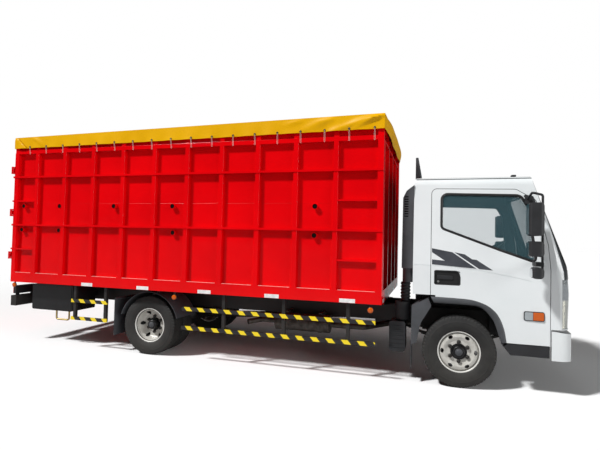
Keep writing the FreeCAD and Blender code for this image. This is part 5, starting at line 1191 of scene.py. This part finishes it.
def tarpTop(x, y):
    # a crown across, a fall towards the rear, and shallow sags between the hoops
    c = tarpCover
    along = tarpBase(x)
    edge = c["rearEdge"] + (c["frontEdge"] - c["rearEdge"]) * along
    side = np.abs(y) / c["half"]
    crown = c["crown"] * (1 - side ** 2.2)
    sag = c["sag"] * np.sin(np.pi * along * (c["bows"] + 1)) ** 2 * (1 - side ** 4)
    ripple = 0.004 * np.sin(9 * x + 5 * y) * np.sin(3.1 * x - 4 * y)
    return edge + crown - sag + ripple * (1 - side ** 6)


def tarpHem(x):
    c = tarpCover
    return c["rearHem"] + (c["frontHem"] - c["rearHem"]) * tarpBase(x)


def foldLine(x, z, start, end, width, height):
    # a soft ridge along the line from start to end: height times exp(-(distance / width) ** 2)
    a, b = np.array(start), np.array(end)
    run = b - a
    share = np.clip(((x - a[0]) * run[0] + (z - a[1]) * run[1]) / (run @ run), 0, 1)
    gap = np.hypot(x - a[0] - share * run[0], z - a[1] - share * run[1])
    return height * np.exp(-(gap / width) ** 2) * (0.35 + 0.65 * (1 - share))


def skirtSwell(x, z, drop):
    # how far the side skirt stands out: folds from the front corner, a tucked rear corner, hem ripples
    c = tarpCover
    front, rear = c["front"], c["rear"]
    swell = foldLine(x, z, (front - 0.02, 2.985), (front - 0.62, 2.80), 0.035, 0.024)
    swell += foldLine(x, z, (front - 0.03, 2.975), (front - 0.34, 2.83), 0.022, 0.018)
    swell += foldLine(x, z, (front - 0.62, 2.965), (front - 1.02, 2.80), 0.045, 0.016)
    swell += foldLine(x, z, (front - 0.98, 2.96), (front - 1.16, 2.90), 0.03, 0.010)
    swell += foldLine(x, z, (rear + 0.34, 2.92), (rear + 0.52, 2.80), 0.03, 0.010)
    crease = rear + 0.03 + (2.93 - z) * 1.2
    tuck = np.clip((crease - x) / 0.010, 0, 1)
    swell -= 0.012 * np.exp(-((x - crease) / 0.008) ** 2)
    hem = 0.006 * drop ** 2 * np.sin(2 * np.pi * x / 0.27) + 0.004 * drop * np.sin(5.3 * x)
    return swell + 0.009 * tuck + hem + 0.004 * drop


def skirtFaces(rows, cols, start, rim, order):
    # the skirt's own quads and the row that joins its first points to the top's rim
    hang = start + np.arange(rows) * cols
    joint = np.stack([rim[:-1], hang[:-1], hang[1:], rim[1:]], -1)
    return np.concatenate([gridFaces(rows, cols) + start, joint])[:, ::order]


def makeTarp():
    # the top as a grid, then a skirt from each of its four rims that drops to the hem and swells outward
    c = tarpCover
    rearEnd, frontEnd = c["rear"] + c["rearFine"][0], c["front"] - c["frontFine"][0]
    x = np.concatenate([np.linspace(c["rear"], rearEnd, c["rearFine"][1], endpoint=False),
                        np.linspace(rearEnd, frontEnd, int((frontEnd - rearEnd) / c["step"]), endpoint=False),
                        np.linspace(frontEnd, c["front"], c["frontFine"][1])])
    y = c["half"] * np.linspace(-1, 1, c["across"])
    topX, topY = np.meshgrid(x, y, indexing="ij")
    top = np.stack([topX, topY, tarpTop(topX, topY)], -1)
    drop = np.linspace(0, 1, c["drops"] + 1)[None, 1:]
    lift = np.minimum(1, 4 * drop)
    points, quads = [top.reshape(-1, 3)], [gridFaces(*top.shape[:2])[:, ::-1]]
    start = len(x) * len(y)
    for side in (-1, 1):
        edge = top[:, 0 if side < 0 else -1]
        skirtX = edge[:, 0:1] + 0 * drop
        z = edge[:, 2:3] + (tarpHem(skirtX) - edge[:, 2:3]) * drop
        out = skirtSwell(skirtX, z, drop) * lift
        points.append(np.stack([skirtX, side * (c["half"] + out), z], -1).reshape(-1, 3))
        rim = np.arange(len(x)) * len(y) + (0 if side < 0 else len(y) - 1)
        quads.append(skirtFaces(len(x), c["drops"], start, rim, 1 if side < 0 else -1))
        start += len(x) * c["drops"]
    for end in (-1, 1):
        edge = top[0 if end < 0 else -1]
        skirtY = edge[:, 1:2] + 0 * drop
        side = np.abs(skirtY) / c["half"]
        dip = (c["frontDip"] if end > 0 else 0.0) * (1 - side ** 2) * (skirtY + 1.3) / 1.3
        hem = tarpHem(edge[:, 0:1]) - dip
        z = edge[:, 2:3] + (hem - edge[:, 2:3]) * drop
        swing = np.sin(np.pi * np.minimum(1, drop * 0.75 + 0.1)) * c["bulge"] * (1 - side ** 6)
        pleats = c["pleat"] * drop * np.sin(2 * np.pi * skirtY / c["pleatPitch"] + 1.1) * (1 - side ** 8)
        out = (swing + pleats) * lift
        points.append(np.stack([edge[:, 0:1] + end * out, skirtY, z], -1).reshape(-1, 3))
        rim = (0 if end < 0 else (len(x) - 1) * len(y)) + np.arange(len(y))
        quads.append(skirtFaces(len(y), c["drops"], start, rim, -1 if end < 0 else 1))
        start += len(y) * c["drops"]
    cover = makePiece("tarpCover", np.concatenate(points), np.concatenate(quads), "tarp", "chassis")
    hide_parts("tarp")
    return cover


cover = makeTarp()
print("truck scene: tarpaulin")

# The sheet's eyelets and the cord loops that hold its hem to the flange

lacing = {"pitch": 0.288, "first": 0.275, "above": 0.017, "eyelet": 0.009, "wire": 0.0042, "strand": 0.0012,
          "spread": 0.006, "flangeTop": 2.707, "flangeFoot": 2.693, "flangeFace": 1.150, "overCloth": 0.0022,
          "overHem": 0.0015, "overFlange": 0.0006}


def skirtOut(x, z):
    # the side skirt's distance from the middle at a height above the hem
    edge = tarpTop(x, tarpCover["half"])
    drop = (edge - z) / (edge - tarpHem(x))
    return tarpCover["half"] + skirtSwell(x, z, drop) * np.minimum(1, 4 * drop)


def makeLacing():
    # each eyelet is a ring; its two strands drop in front of the flange and meet under it
    places = np.arange(tarpCover["rear"] + lacing["first"], tarpCover["front"] - 0.06, lacing["pitch"])
    turn = np.linspace(0, 2 * np.pi, 9)
    wire = lacing["wire"]
    ring = np.stack([wire * np.sin(turn), lacing["eyelet"] + wire * np.cos(turn)], -1)
    rings, loops = [], []
    for side in (-1, 1):
        for x in places:
            z = tarpHem(x) + lacing["above"]
            y = skirtOut(x, z) + lacing["overCloth"]
            rings.append((x, side * y, z))
            hemY = skirtOut(x, tarpHem(x)) + lacing["strand"] + lacing["overHem"]
            face = lacing["flangeFace"] + lacing["strand"] + lacing["overFlange"]
            drop = [(0.003, y + 0.003, z), (0.55, hemY, tarpHem(x)),
                    (0.9, 0.5 * (hemY + face), tarpHem(x) - 0.035), (1.0, face, lacing["flangeTop"]),
                    (0.8, face, lacing["flangeFoot"] - 0.001)]
            left = [(x - lacing["spread"] * share, side * w, h) for share, w, h in drop]
            foot = [(x, side * (face - 0.001), lacing["flangeFoot"] - 0.005)]
            right = [(2 * x - a, w, h) for a, w, h in left[::-1]]
            loops.append(smoothPath(left + foot + right, 4))
    eyelets = ringsPiece("tarpEyelets", rings, "y", ring, 18, "rubber", "chassis")
    cords = tubePiece("tarpLoops", loops, lacing["strand"], "rope", "chassis", sides=6, lead=(1.0, 0.0, 0.0))
    return [eyelets, cords]


ties = makeLacing()
print("truck scene: eyelets and cord loops")

# Seats: foam cushions and backs in woven cloth, swollen by a cloth simulation

# each pad: the corners of its side outline, its half width, and how far its ends are drawn in
seatPads = {"reach": 0.580, "voxel": 0.012, "swell": 0.020, "pressure": 3.5, "steps": 20,
            "weltAt": 0.085, "weltWide": 0.009, "weltDeep": 0.010, "weltTop": 0.06,
            "Base": (((-0.385, 1.045), (-0.385, 1.225), (0.060, 1.240), (0.138, 1.205), (0.142, 1.060)),
                     0.172, 0.03),
            "Back": (((-0.395, 1.262), (-0.250, 1.262), (-0.335, 1.640), (-0.420, 1.640)), 0.170, 0.025),
            "Head": (((-0.420, 1.668), (-0.352, 1.668), (-0.345, 1.795), (-0.412, 1.800)), 0.110, 0.02),
            "frame": ((-0.39, 0.13), 0.165, (1.036, 1.060)), "posts": 0.045,
            "post": ((-0.386, 1.60), (-0.384, 1.64), (-0.384, 1.70))}


def padShell(name, corners, half, edge, finish):
    # the side outline drawn across the seat, its corners rounded, its two ends drawn in by 'edge'
    corners = np.asarray(corners) + np.array([frontAxleX, 0])
    outline = denser(roundedOutline([(x, z, 0.03) for x, z in corners], 5), 0.04)
    middle = outline.mean(0)
    across = np.concatenate([[-1.0], np.linspace(-0.93, 0.93, 9), [1.0]])
    shrink = np.where(np.abs(across) > 0.99, edge, 0.0)
    away = outline - middle
    reach = np.linalg.norm(away, axis=1)
    ring = middle + away[None] * (1 - shrink[:, None] / reach[None])[..., None]
    y = -seatPads["reach"] + half * across
    points = np.stack([ring[..., 0], np.broadcast_to(y[:, None], ring.shape[:2]), ring[..., 1]], -1)
    piece = makePiece(name, points, tubeFaces(len(across), len(outline)), finish, "cab")
    facesOut(piece)
    return piece


def readPoints(mesh):
    points = np.empty(len(mesh.vertices) * 3)
    mesh.vertices.foreach_get("co", points)
    return points.reshape(-1, 3)


def applyLooks(piece):
    # the piece's modifiers made its mesh
    graph = bpy.context.evaluated_depsgraph_get()
    mesh = bpy.data.meshes.new_from_object(piece.evaluated_get(graph), depsgraph=graph)
    piece.modifiers.clear()
    piece.data = mesh


def swellPad(piece):
    # remeshed evenly, blown up a little as cloth, and held to within the cap of where it began
    remesh = piece.modifiers.new("even", "REMESH")
    remesh.mode = "VOXEL"
    remesh.voxel_size = seatPads["voxel"]
    applyLooks(piece)
    before = readPoints(piece.data)
    cloth = piece.modifiers.new("foam", "CLOTH")
    cloth.settings.use_pressure = True
    cloth.settings.uniform_pressure_force = seatPads["pressure"]
    cloth.settings.effector_weights.gravity = 0.0
    cloth.point_cache.frame_start, cloth.point_cache.frame_end = 1, seatPads["steps"]
    for step in range(1, seatPads["steps"] + 1):
        bpy.context.scene.frame_set(step)
    applyLooks(piece)
    bpy.context.scene.frame_set(1)
    moved = readPoints(piece.data) - before
    far = np.linalg.norm(moved, axis=1)[:, None]
    moved *= np.minimum(1, seatPads["swell"] / np.maximum(far, 1e-9))
    piece.data.vertices.foreach_set("co", (before + moved).ravel())
    piece.data.polygons.foreach_set("use_smooth", np.ones(len(piece.data.polygons), bool))


def seatWelts(points, y, depth):
    # sewn channels: two lines along the seat where the cover is pulled in
    away = seatPads["weltAt"]
    line = np.minimum(np.abs(points[:, 1] - y - away), np.abs(points[:, 1] - y + away))
    return depth * np.exp(-(line / seatPads["weltWide"]) ** 2)


def makeSeats():
    pads = []
    for name in ("Base", "Back", "Head"):
        pad = padShell("seat" + name + "Right", *seatPads[name], "seat")
        swellPad(pad)
        points = readPoints(pad.data)
        if name != "Head":
            pull = seatWelts(points, -seatPads["reach"], seatPads["weltDeep"])
            if name == "Base":
                points[:, 2] -= pull * (points[:, 2] > points[:, 2].max() - seatPads["weltTop"])
            else:
                points[:, 0] -= pull * (points[:, 0] > points[:, 0].mean())
            pad.data.vertices.foreach_set("co", points.ravel())
        pads.append(pad)
        other = bpy.data.objects.new("seat" + name + "Left", pad.data.copy())
        bpy.context.scene.collection.objects.link(other)
        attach(other, "cab")
        flipped = readPoints(other.data) * [1, -1, 1]
        other.data.vertices.foreach_set("co", flipped.ravel())
        facesOut(other)
        pads.append(other)
    for pad in pads:
        smooth = pad.modifiers.new("cover", "SUBSURF")
        smooth.levels = smooth.render_levels = 1
    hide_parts("seats")
    along, half, rise = seatPads["frame"]
    middles = [side * seatPads["reach"] for side in (-1, 1)]
    frames = [sideBox(1, fromAxle(*along), (y - half, y + half), rise) for y in middles]
    posts = [[(frontAxleX + x, y + reach, z) for x, z in seatPads["post"]]
             for y in middles for reach in (-seatPads["posts"], seatPads["posts"])]
    boxesPiece("seatFrames", frames, "plastic", "cab", 0.006)
    tubePiece("headrestPosts", posts, 0.006, "steel", "cab", lead=(1.0, 0.0, 0.0))


makeSeats()
print("truck scene: seats")
